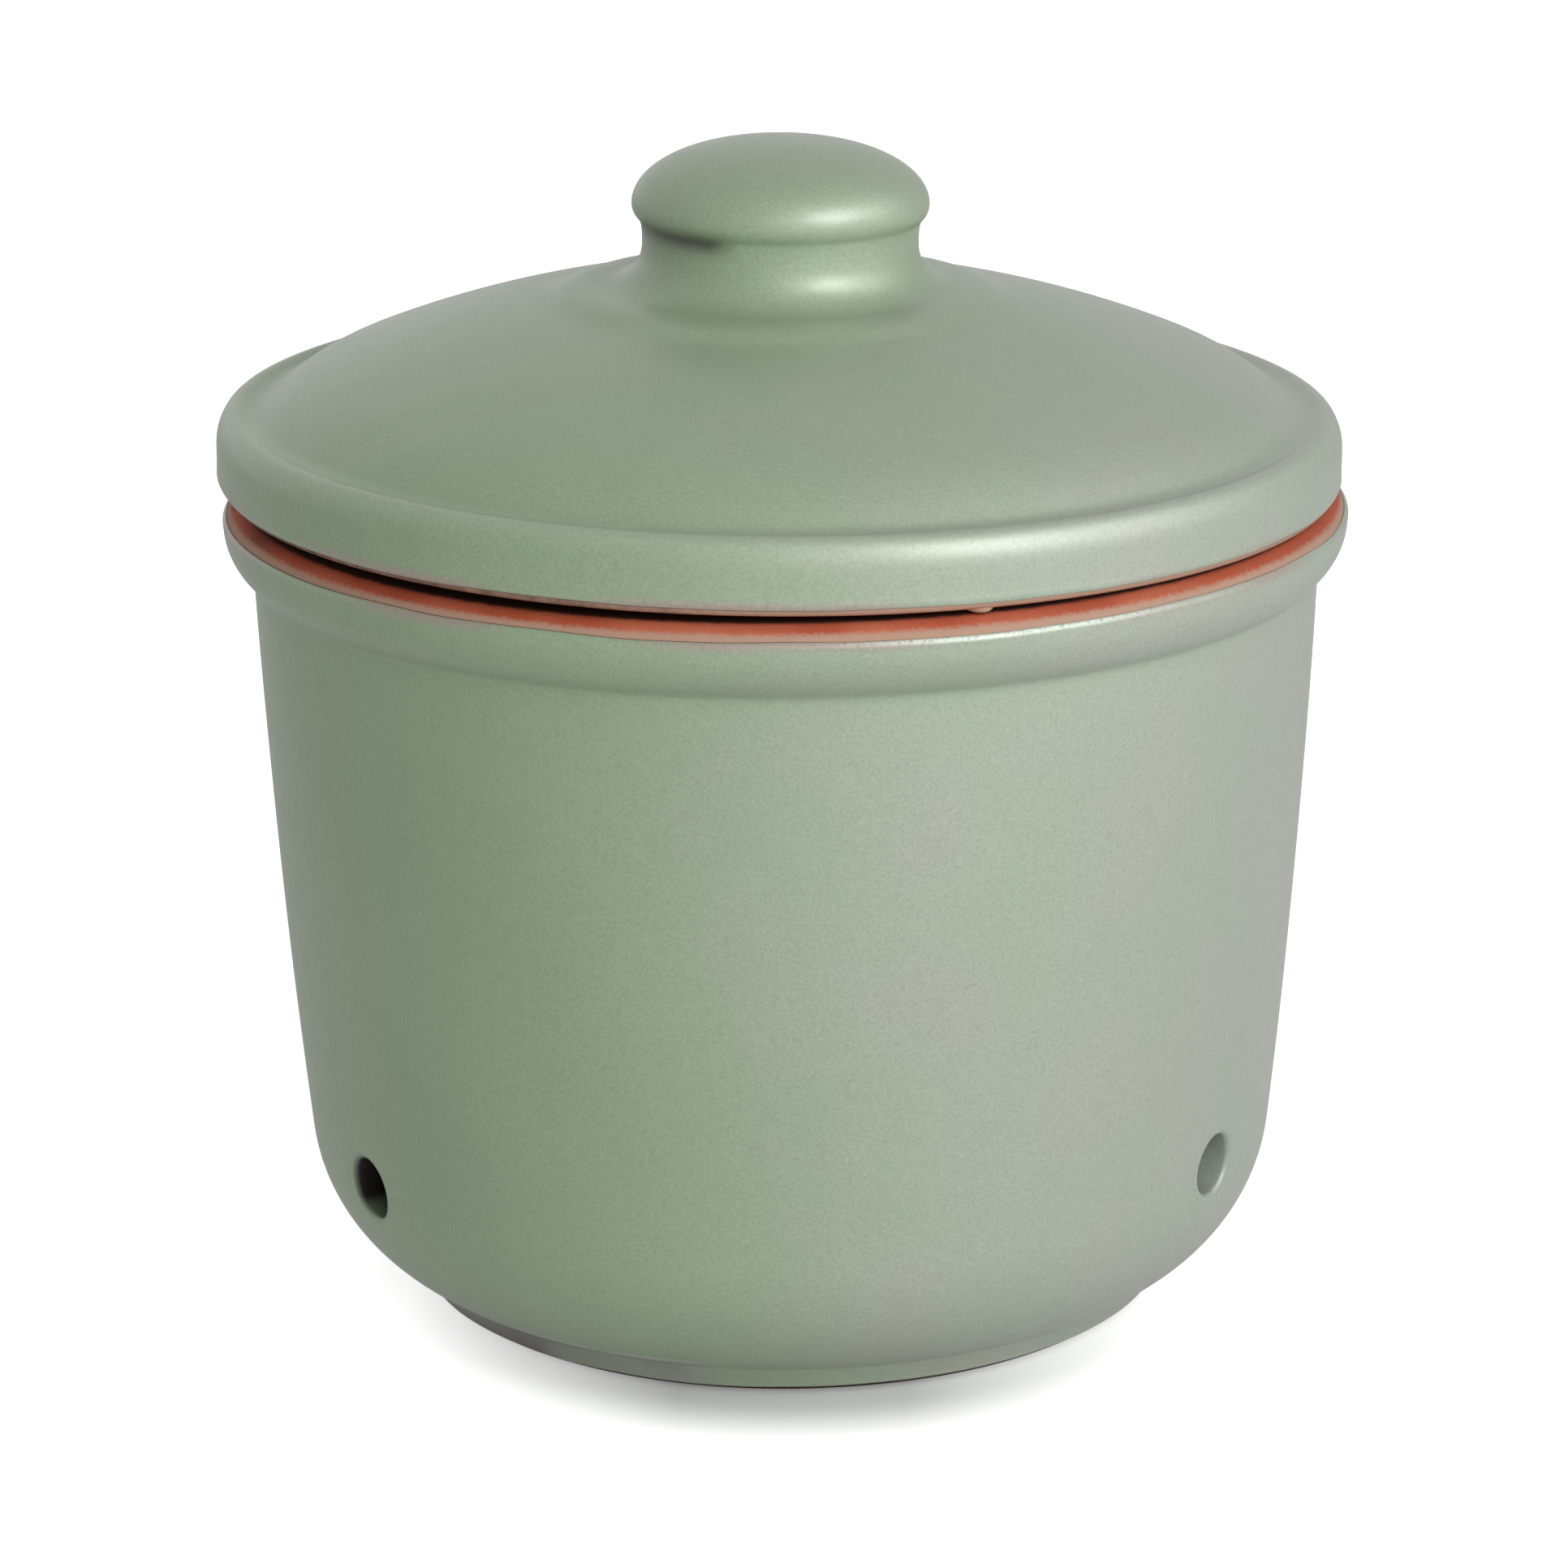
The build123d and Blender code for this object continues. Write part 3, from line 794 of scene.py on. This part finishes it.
# Painted shadow and shade on the clay, in patches.
shade_patches = clay.math("MULTIPLY", clay.grain(3, 3, 0.65), 0.5)
shaded = clay.between(clay.math("ADD", clay.mark("bare"), shade_patches), 0.4, 0.95)
clay.lead("Base Color", clay.blend(shaded, dusted, PAINTED_SHADE_CLAY))
clay.lead("Normal", clay.relief(grog, 0.05))
print(f"red clay: {len(clay.nodes)} nodes")

# %% [markdown]
# ## The clay of the jar
# The clay is one closed skin, from the middle of the underside, round the foot, up the
# outside, over the rim, and down the inside to the middle of the floor. Rows may be far
# apart under the glaze, where nobody sees them.
#
# A painted shadow darkens the rim where the lid covers it, strongest at the front, and
# another lies in a line round the foot. The four figures of a band say where it begins,
# where it is full, and where it starts to fade and is gone. The rim gets a row at each, or
# the band's edges would be as blurred as the rows are far apart.

# %% Where glaze and painted shadow end
GLAZE_START, GLAZE_END = 0.9, 144.3
SHADOW_RADII, FOOT_SHADOW = [88.8, 91.0, 95.4, 97.4], 2.0


def outermost_at(outline, height):
    """How far along the outline it crosses a height, at the crossing furthest out."""
    over = outline[:, 1] > height
    crossing = np.flatnonzero(over[1:] != over[:-1])
    step = crossing[np.argmax(outline[crossing, 0])]
    share = (height - outline[step, 1]) / (outline[step + 1, 1] - outline[step, 1])
    far = travel(outline)
    return far[step] + share * (far[step + 1] - far[step])


FOOT_LINE = outermost_at(jar_clay_line, GLAZE_START)
RIM_LINE = outermost_at(jar_clay_line, GLAZE_END)
rim = jar_clay_line[:, 1] > RIM_HEIGHT - 0.9
shadow_rows = np.interp(-np.array(SHADOW_RADII), -jar_clay_line[rim, 0], travel(jar_clay_line)[rim])
print(f"glaze from {FOOT_LINE:.1f} to {RIM_LINE:.1f} mm along the outline")

# %% Jar clay, rows
under_rows = choose_rows(jar_clay_line, 5.0, 9.0, end=FOOT_LINE)
outer_rows = choose_rows(jar_clay_line, 7.0, 9.0, FOOT_LINE, RIM_LINE)
outer_rows = level_rows(jar_clay_line, outer_rows, VENT_ROWS)
inner_rows = np.union1d(choose_rows(jar_clay_line, 5.0, 7.2, RIM_LINE), shadow_rows)
inner_rows = level_rows(jar_clay_line, inner_rows, VENT_ROWS)
rows = np.concatenate([under_rows[:-1], outer_rows[:-1], inner_rows])
profile = along(jar_clay_line, rows)
rings = carry_round(profile[1:-1])
points, sheet, *caps = closed_skin(rings, profile[0, 1], profile[-1, 1])
rows, profile = rows[1:-1], profile[1:-1]
print(f"{len(rows)} rings of clay")

# %% Painted shadow on the jar
FRONT = 270


def turned_from(middle):
    """The angle of each column from a given one, from -180 to 180 degrees."""
    return (np.degrees(ANGLES) - middle + 180) % 360 - 180


def front_shadow(front):
    """Full within 80 degrees of the front, a third at 120 and a fifth at the back."""
    return np.interp(np.abs(turned_from(front)), [80, 120, 180], [1, 0.35, 0.2])


# Painted shadow in the gap under the lid, strongest at the front, and in a line round the foot.
under_lid = np.interp(profile[:, 0], SHADOW_RADII, [0, 1, 1, 0]) * (profile[:, 1] > GLAZE_END)
on_foot = (np.abs(rows - FOOT_LINE) < FOOT_SHADOW)[:, None]
painted_shadow = np.maximum(under_lid[:, None] * front_shadow(FRONT), on_foot)
off_glaze = np.clip(np.maximum(rows - RIM_LINE, FOOT_LINE - rows), 0, FAR_OFF)
clay_marks = {"edge": on_points(off_glaze, [FAR_OFF, FAR_OFF]), "bare": on_points(painted_shadow, [0, 0])}

# %% Drill the clay jar
CLAY_HOLE = 6.0
# A ring's last figure is the painted shade on it.
CLAY_RINGS = [
    # from the block's edge to the outer end of the hole
    ("outer", 0.5, CLAY_HOLE + 0.3, 0, 0), ("outer", 1, CLAY_HOLE + 0.3, 0, 0),
    ("outer", 1, CLAY_HOLE + 0.05, 0.05, 0), ("outer", 1, CLAY_HOLE, 0.3, 0),
    # through the wall, over the inner lip and out to the block inside
    ("inner", 1, CLAY_HOLE, -0.5, 1), ("inner", 1, CLAY_HOLE + 0.12, -0.12, 0.6),
    ("inner", 1, CLAY_HOLE + 0.5, 0, 0.2), ("inner", 0.5, CLAY_HOLE + 0.5, 0, 0)]


def level_places(rows, part):
    """The places in the grid of the level rows of one wall, lowest first."""
    of_part = np.flatnonzero(np.isin(rows, part))
    height = along(jar_clay_line, rows[of_part])[:, 1]
    return of_part[np.abs(height[:, None] - VENT_ROWS).argmin(axis=0)]


rim_point = int(RIM_LINE / FINE)
jar_walls = {"outer": wall_of(jar_clay_line[:rim_point]),
             "inner": wall_of(jar_clay_line[rim_point:])}
outer_places, inner_places = level_places(rows, outer_rows), level_places(rows, inner_rows)
points, clay_marks, faces = drill(points, clay_marks, number_rings(rings), sheet,
                                  outer_places, inner_places, CLAY_RINGS, jar_walls)
make_piece("jar_clay", kiln_ripple(points), faces + caps, clay_marks,
           "jar_body", "jar", clay.material)

# %% [markdown]
# ## The coat of the jar
# The coat starts just above the floor, so that it never stuck to the kiln shelf, and
# ends under the rim. Its underside clings to the clay. At each vent it goes over a soft
# lip and lines the hole right through the wall.

# %% Jar coat
EDGE_STEPS = np.array([0, 0.02, 0.07, 0.15, 0.27, 0.42, 0.6, 0.8, 1.0, 1.25, 1.6, 2.0])


def coat_rows(outline, start, end, spacing, bend, edged_end=True):
    """Rows for a coat: close together near its edges, where it is rounded off."""
    last = end - EDGE_STEPS[-1] if edged_end else end
    middle = choose_rows(outline, spacing, bend, start + EDGE_STEPS[-1], last)
    closing = end - EDGE_STEPS[-2::-1] if edged_end else []
    return np.concatenate([start + EDGE_STEPS[:-1], middle, closing])


def wander_share(rows, line):
    """1 at the glaze edge, going down in an S to 0 at 5 mm from it."""
    share = np.clip(1 - np.abs(rows - line) / 5, 0, 1)
    return share ** 2 * (3 - 2 * share)


outer = coat_rows(jar_clay_line, FOOT_LINE, RIM_LINE, 2.4, 5.0)
outer = level_rows(jar_clay_line, outer, VENT_ROWS)
inner = outer_rows[-2:0:-1]
rim_wander = wandering(4, 0.16)
foot_wander = wandering(9, 0.12)


def jar_coat_rings(rows, thickness):
    """Rings on the jar's outline, with the rows near its two edges wandering along it."""
    places = (rows[:, None] + rim_wander * wander_share(rows, RIM_LINE)[:, None]
              + foot_wander * wander_share(rows, FOOT_LINE)[:, None])
    return carry_round(laid_on(jar_clay_line, places, thickness[:, None]))


from_edge = np.minimum(outer - FOOT_LINE, RIM_LINE - outer)
rings = np.concatenate([jar_coat_rings(outer, glaze_thickness(from_edge, JAR_LIP)),
                        jar_coat_rings(inner, np.full(len(inner), CLING))])
print(f"jar coat: {len(outer)} rings outside and {len(inner)} underneath")

# %% Marks of the jar coat
# A painted highlight along the glaze edge at the rim, only on the front right.
GLINT_TURNS, GLINT_MIDDLE, GLINT_WIDTH = [3, 14, 30, 42], 0.38, 0.3

both = np.concatenate([outer, inner])
front_right = np.interp(turned_from(FRONT), GLINT_TURNS, [0, 1, 1, 0])
glint_edge = np.exp(-((RIM_LINE - both - GLINT_MIDDLE) / GLINT_WIDTH) ** 2)
coat_marks = {"pool": on_points(gathering(jar_clay_line, both)),
              "edge": on_points(RIM_LINE - both), "bare": on_points(0 * both),
              "roll": on_points(glint_edge[:, None] * front_right)}

# %% Line the vents
LIP_ROUND = 1.0
LIP_START = VENT_RADIUS + LIP_ROUND + 0.1
LINING = CLAY_HOLE - 0.05

lip_turn = np.radians([10, 30, 50, 70, 90])
lip_radii = VENT_RADIUS + LIP_ROUND * (1 - np.sin(lip_turn))
lip_depths = LIP_ROUND * (1 - np.cos(lip_turn))
# A ring's last figure is the painted shade on it.
COAT_RINGS = [
    # from the block's edge to the lip, and over it
    ("outer", 0.3, LIP_START, 0, 0), ("outer", 0.6, LIP_START, 0, 0),
    ("outer", 0.85, LIP_START, 0, 0), ("outer", 1, LIP_START, 0, 0.05),
    *[("outer", 1, *ring) for ring in zip(lip_radii, lip_depths, np.sin(lip_turn))],
    # through the wall, and round the end of the lining on the far side
    ("outer", 1, VENT_RADIUS, 2.5, 1), ("far", 1, VENT_RADIUS, -2.0, 1),
    ("far", 1, VENT_RADIUS, -0.4, 1), ("far", 1, VENT_RADIUS + 0.1, -0.15, 1),
    ("far", 1, LINING - 0.1, -0.15, 1), ("far", 1, LINING, -0.4, 1),
    # back through the wall against the clay, and out to the block under the coat
    ("far", 1, LINING, -2.0, 1), ("inner", 1, LINING, 0.4, 1),
    ("inner", 1, CLAY_HOLE, 0.0, 1), ("inner", 0.5, CLAY_HOLE + 0.5, 0, 1)]
coat_walls = {"outer": wall_of(rings[:len(outer), 0, ::2]), "far": jar_walls["inner"],
              "inner": wall_of(rings[len(outer):, 0, ::2])}
outer_places, inner_places = level_places(both, outer), level_places(inner, inner)
points, coat_marks, faces = drill(rings.reshape(-1, 3), coat_marks, number_rings(rings),
                                  closed_tube(rings), outer_places, len(outer) + inner_places,
                                  COAT_RINGS, coat_walls)
make_piece("jar_coat", kiln_ripple(points), faces, coat_marks,
           "jar_glaze", "jar", sage.material)

# %% [markdown]
# ## Seating the lid
# The lid's pieces are turned level and then put in their place together: a little to the
# left, and leaning by less than a degree, because one of its three pips stands higher.

# %% The lid's place
HIGH_SIDE = 170.5
LEAN = np.arctan(2.5 / (2 * 97.9))
LID_PLACE = np.array([-1.1, 0.0, 148.5])

high = np.array([np.cos(np.radians(HIGH_SIDE)), np.sin(np.radians(HIGH_SIDE)), 0])
lid_across = np.cos(LEAN) * high + (0, 0, np.sin(LEAN))
lid_up = -np.sin(LEAN) * high + (0, 0, np.cos(LEAN))
lid_along = np.cross(lid_up, lid_across)


def seat_on_jar(points):
    """Level points on the lid's own axes: place + x * across + y * along + z * up."""
    return LID_PLACE + points @ np.array([lid_across, lid_along, lid_up])


print(f"the lid leans by {np.degrees(LEAN):.2f} degrees")

# %% [markdown]
# ## The clay of the lid
# The clay lid is a closed ring of an outline: along the underside, round the ring and
# the bottom edge, up over the top to the knob's seat, and back through the pinhole that
# lets air out of the hollow knob in the kiln. Painted shadow darkens its ring over the
# rim, and painted shade a little of its edge on the left.

# %% Lid clay
LID_GLAZE_START = 1.3

LID_LINE = outermost_at(lid_clay_line, LID_GLAZE_START)
below = choose_rows(lid_clay_line, 4.0, 5.0, end=LID_LINE)
above = choose_rows(lid_clay_line, 6.0, 8.0, start=LID_LINE)
rows = np.concatenate([below, above[1:]])
profile = along(lid_clay_line, rows)
rings = carry_round(profile)
print(f"{len(rows)} rings of clay in the lid")

# %% Painted shadow and shade on the lid
LID_FRONT = FRONT - HIGH_SIDE
RING_SHADOW, LEFT_SHADE = [84.5, 85.5, 88.5, 90.5], [-40, 0, 80, 112]
EDGE_SHADE, EDGE_REACH = LID_LINE - 1.5, 4.0

# Painted shadow on the ring over the rim, and painted shade along the lid's edge on the left.
by_ring = np.interp(profile[:, 0], RING_SHADOW, [0, 1, 1, 0]) * (profile[:, 1] < 1)
by_edge = np.clip(1 - np.abs(rows - EDGE_SHADE) / EDGE_REACH, 0, 1) ** 0.3
on_left = 0.45 * np.interp(turned_from(0), LEFT_SHADE, [0.2, 1, 1, 0])
painted_shadow = np.maximum(by_ring[:, None] * front_shadow(LID_FRONT), by_edge[:, None] * on_left)
lid_marks = {"edge": on_points(np.clip(LID_LINE - rows, 0, FAR_OFF)), "bare": on_points(painted_shadow)}
make_piece("lid_clay", seat_on_jar(rings.reshape(-1, 3)), [closed_tube(rings)], lid_marks,
           "lid_body", "lid", clay.material)

# %% [markdown]
# ## The clay of the knob
# The knob is hollow, or it would burst in the kiln.

# %% Knob clay
rows = choose_rows(knob_clay_line, 2.5, 6.0)
profile = along(knob_clay_line, rows)
points, *faces = closed_skin(carry_round(profile[1:-1]), profile[0, 1], profile[-1, 1])
make_piece("knob_clay", seat_on_jar(points), faces, {"edge": np.full(len(points), FAR_OFF)},
           "lid_knob", "lid", clay.material)

# %% [markdown]
# ## The coat of the lid
# Lid and knob were glazed together, so one coat runs over both and fills the joint
# between them. It ends just above the lid's bottom edge. Under the cap, on the left, a
# painted shadow darkens the neck, and it gets a mark of its own.

# %% Lid coat
shared_line = np.vstack([lid_top, collar[1:], flare[1:], neck[1:], under_cap[1:], cap[1:]])
shared_line = np.vstack([straight((RING_OUTSIDE + 2, 0), (LID_RADIUS, 0)), shared_line[1:]])
shared_line = melt(shared_line, **COLLAR_SOFTNESS)
COAT_LINE = outermost_at(shared_line, LID_GLAZE_START)
top_length = travel(shared_line)[-1]
outer = coat_rows(shared_line, COAT_LINE, top_length, 3.0, 5.8, edged_end=False)
inner = choose_rows(shared_line, 8.0, 12.0, COAT_LINE, top_length)[:0:-1]
lid_wander = wandering(16, 0.1)


def lid_coat_rings(rows, thickness):
    """Rings on the shared outline of lid and knob, wandering near the lower edge."""
    places = rows[:, None] + lid_wander * wander_share(rows, COAT_LINE)[:, None]
    return carry_round(laid_on(shared_line, places, thickness[:, None]))


inner, outer = inner[1:], outer[:-1]
rings = np.concatenate([lid_coat_rings(inner, np.full(len(inner), CLING)),
                        lid_coat_rings(outer, glaze_thickness(outer - COAT_LINE, LID_LIP))])
points, *faces = closed_skin(rings, CAP_TOP + CLING, CAP_TOP + GLAZE)

# %% Marks of the lid coat
# A painted shadow under the cap, on the left of the neck.
CAP_SHADOW_WIDTH, CAP_SHADOW_TURNS = 1.9, [-15, 10, 70, 82]

both = np.concatenate([inner, outer])
from_crease = along(shared_line, both) - (NECK_TOP[0], NECK_TOP[1] - 0.8)
under_edge = np.exp(-(np.hypot(*from_crease.T) / CAP_SHADOW_WIDTH) ** 2)
cap_shadow = under_edge[:, None] * np.interp(turned_from(0), CAP_SHADOW_TURNS, [0, 1, 1, 0])
coat_marks = {"pool": on_points(gathering(shared_line, both), [0, 0]),
              "edge": on_points(both - COAT_LINE, [FAR_OFF, FAR_OFF]),
              "cap_shadow": on_points(cap_shadow, [0, 0])}
make_piece("lid_coat", seat_on_jar(points), faces, coat_marks,
           "lid_glaze", "lid", sage.material)

# %% [markdown]
# ## The pips
# Three pips of clay under the lid's edge keep it off the rim, so that air can pass and
# the two don't grind. Each was pressed on with a fingertip, as a low, uneven dome, and
# smeared out towards the lid's edge, where it shows as a small bump in the gap.

# %% One pip
PIP_RADIUS, PIP_HEIGHT, PIP_ROOT, PIP_SMEAR = 2.3, 0.75, 0.3, 2.6

pip_angles = np.arange(48) * 2 * np.pi / 48
slope = np.linspace(0, np.pi / 2, 12)[1:]
dome_line = np.column_stack([PIP_RADIUS * np.sin(slope) ** 0.8,
                             -PIP_HEIGHT * np.cos(slope) ** 0.9])
pip_line = np.vstack([dome_line, [[PIP_RADIUS, PIP_ROOT], [PIP_RADIUS * 0.5, PIP_ROOT]]])
pip = carry_round(pip_line, pip_angles) * (1, 0.93, 1)
pip[..., 0] *= 1 + 0.05 * np.sin(3 * pip_angles)
pip[..., 0] *= np.where(pip[..., 0] > 0, PIP_SMEAR, 1)
outward = np.clip(pip[..., 0], 0, 5)
pip[..., 1] = pip[..., 1] * (1 + 0.5 * np.clip(outward / 3, 0, 1)) - 0.3 * outward
pip[..., 2] *= np.where(pip[..., 2] < 0, 1 + 0.12 * outward, 1)
print(f"a pip is {np.round(np.ptp(pip, axis=(0, 1)), 1)} mm")

# %% Three pips
PIP_CIRCLE = 92.85

pip, *pip_faces = closed_skin(pip, -PIP_HEIGHT, PIP_ROOT)
turns = np.radians([0, 120, 240])
pips = [(pip + (PIP_CIRCLE, 0, 0)) @ np.array([[np.cos(turn), np.sin(turn), 0],
                                               [-np.sin(turn), np.cos(turn), 0], [0, 0, 1]])
        for turn in turns]
faces = [part + count * len(pip) for count in range(3) for part in pip_faces]
make_piece("spacer_pips", seat_on_jar(np.vstack(pips)), faces,
           {"edge": np.full(3 * len(pip), 0.9)}, "spacer_nubs", "lid", clay.material)

# %% [markdown]
# ## Floor and background
# The jar stands on a white sweep. To the camera the floor adds a little light of its
# own, so that it comes out white. It adds it only as far as the open sky reaches it,
# which the ambient occlusion node measures, so the soft shadow under the jar stays. To
# the sides of the jar more of that light is kept, and the shadow fades out sooner.
#
# The room is dim but for one wall, behind the jar and to the left, so that the glaze has
# a light and a dark side to mirror. To the camera the room is plain white.

# %% White floor
FLOOR_LIFT, MIRRORED_LIFT, SHADOW_REACH = 0.95, 0.22, 0.022

bpy.ops.mesh.primitive_plane_add(size=8)
floor = bpy.context.object
floor.name = "floor"
sweep = Finish("white_floor", Base_Color=(0.62, 0.62, 0.62, 1), Roughness=1.0,
               Specular_IOR_Level=0.0, Emission_Color=(1, 1, 1, 1))
path = sweep.nodes.new("ShaderNodeLightPath").outputs
lift = sweep.math("ADD", sweep.math("MULTIPLY", path["Is Camera Ray"], FLOOR_LIFT),
                  sweep.math("MULTIPLY", path["Is Glossy Ray"], MIRRORED_LIFT))
open_sky = sweep.step("ShaderNodeAmbientOcclusion", {"Distance": SHADOW_REACH}, "AO", samples=16)
fading = sweep.rescale(open_sky, 0.1, 1.0, 0.3, 0.88)
washed_out = sweep.rescale(sweep.math("ABSOLUTE", sweep.metres("X")), 0.0, 0.8, 0.02, 0.07)
regained = sweep.math("MULTIPLY", washed_out, sweep.math("SUBTRACT", 1.0, fading))
kept_light = sweep.math("ADD", fading, regained)
sweep.lead("Emission Strength", sweep.math("MULTIPLY", lift, kept_light))
floor.data.materials.append(sweep.material)

# %% White surroundings
BACK_WALL = (-0.58, 0.815, 0.0)
ROOM_LIGHT, WALL_LIGHT = 0.26, 0.74

world = bpy.data.worlds.new("studio")
bpy.context.scene.world = world
sky = Chain(world)
way = sky.step("ShaderNodeTexCoord", {}, "Generated")
towards_wall = sky.step("ShaderNodeVectorMath", {0: way, 1: BACK_WALL}, "Value",
                        operation="DOT_PRODUCT")
glow = sky.rescale(towards_wall, ROOM_LIGHT, ROOM_LIGHT + WALL_LIGHT)
path = sky.nodes.new("ShaderNodeLightPath").outputs
seen = sky.math("MAXIMUM", path["Is Camera Ray"], path["Is Transmission Ray"])
strength = sky.step("ShaderNodeMix", {"Factor": seen, "A": glow, "B": 1.0}, "Result")
background = sky.nodes["Background"].inputs
background["Color"].default_value = (1, 1, 1, 1)
sky.links.new(strength, background["Strength"])

# %% [markdown]
# ## Studio light
# A soft box stands to the right in front of the jar and above it. The long highlight on
# the cap and the round one on the neck show where it is. Its bright middle gives the
# gleam, so a second lamp in the same place is seen by glossy surfaces alone, and a third
# beside it gives the softer light that trails off to the right. A wide window in front
# lights the wall evenly. Glossy surfaces don't see it, or it would lie on them as a haze.

# %% Soft boxes
def put(thing, right, up, back, place):
    """Puts a lamp or camera at a place. Its own X, Y and Z arrows, of which Z points
    away from what it faces, are the first columns of its matrix."""
    bpy.context.scene.collection.objects.link(thing)
    turned = np.eye(4)
    turned[:3] = np.column_stack([right, up, back, place])
    thing.matrix_world = turned.T.tolist()


def soft_box(name, turn, rise, distance, width, height, power, target=(0, 0, 0.11)):
    """A lamp at a turn to the right of the front and a rise above the floor, in degrees,
    that faces the target."""
    turn, rise = np.radians(turn), np.radians(rise)
    way = np.array([np.sin(turn) * np.cos(rise), -np.cos(turn) * np.cos(rise), np.sin(rise)])
    light = bpy.data.lights.new(name, "AREA")
    light.shape, light.size, light.size_y, light.energy = "RECTANGLE", width, height, power
    lamp = bpy.data.objects.new(name, light)
    side = np.cross((0, 0, 1), way)
    side /= np.linalg.norm(side)
    put(lamp, side, np.cross(way, side), way, target + distance * way)
    return lamp


soft_box("key_box", 42, 33, 1.2, width=0.45, height=0.45, power=3.0)
key_gleam = soft_box("key_gleam", 42, 31, 1.2, width=0.5, height=0.45, power=6.5)
side_gleam = soft_box("side_gleam", 60, 30, 1.2, width=1.3, height=0.8, power=12)
front_window = soft_box("front_window", 22, 12, 2.0, width=2.0, height=1.6, power=37)
key_gleam.visible_diffuse = side_gleam.visible_diffuse = False
front_window.visible_glossy = False

# %% [markdown]
# ## The camera
# A long lens looks down on the jar by 16.5 degrees from about a metre. These figures were
# found by laying circles of the measured jar over the picture until they met its edges.

# %% Camera
SLOPE, DISTANCE, LENS, ROLL = np.radians(16.55), 1.0522, 133.18, np.radians(-0.45)
AIM = np.array([-0.00068, 0, 0.09084])

towards = np.array([0, np.cos(SLOPE), -np.sin(SLOPE)])
level_right, level_up = np.array([1.0, 0, 0]), np.array([0, np.sin(SLOPE), np.cos(SLOPE)])
right = np.cos(ROLL) * level_right + np.sin(ROLL) * level_up
up = np.cos(ROLL) * level_up - np.sin(ROLL) * level_right
lens = bpy.data.cameras.new("camera")
lens.lens, lens.sensor_width, lens.clip_start = LENS, 36.0, 0.01
camera = bpy.data.objects.new("camera", lens)
put(camera, right, up, -towards, AIM - DISTANCE * towards)
bpy.context.scene.camera = camera
bpy.context.scene.view_settings.view_transform = "Standard"
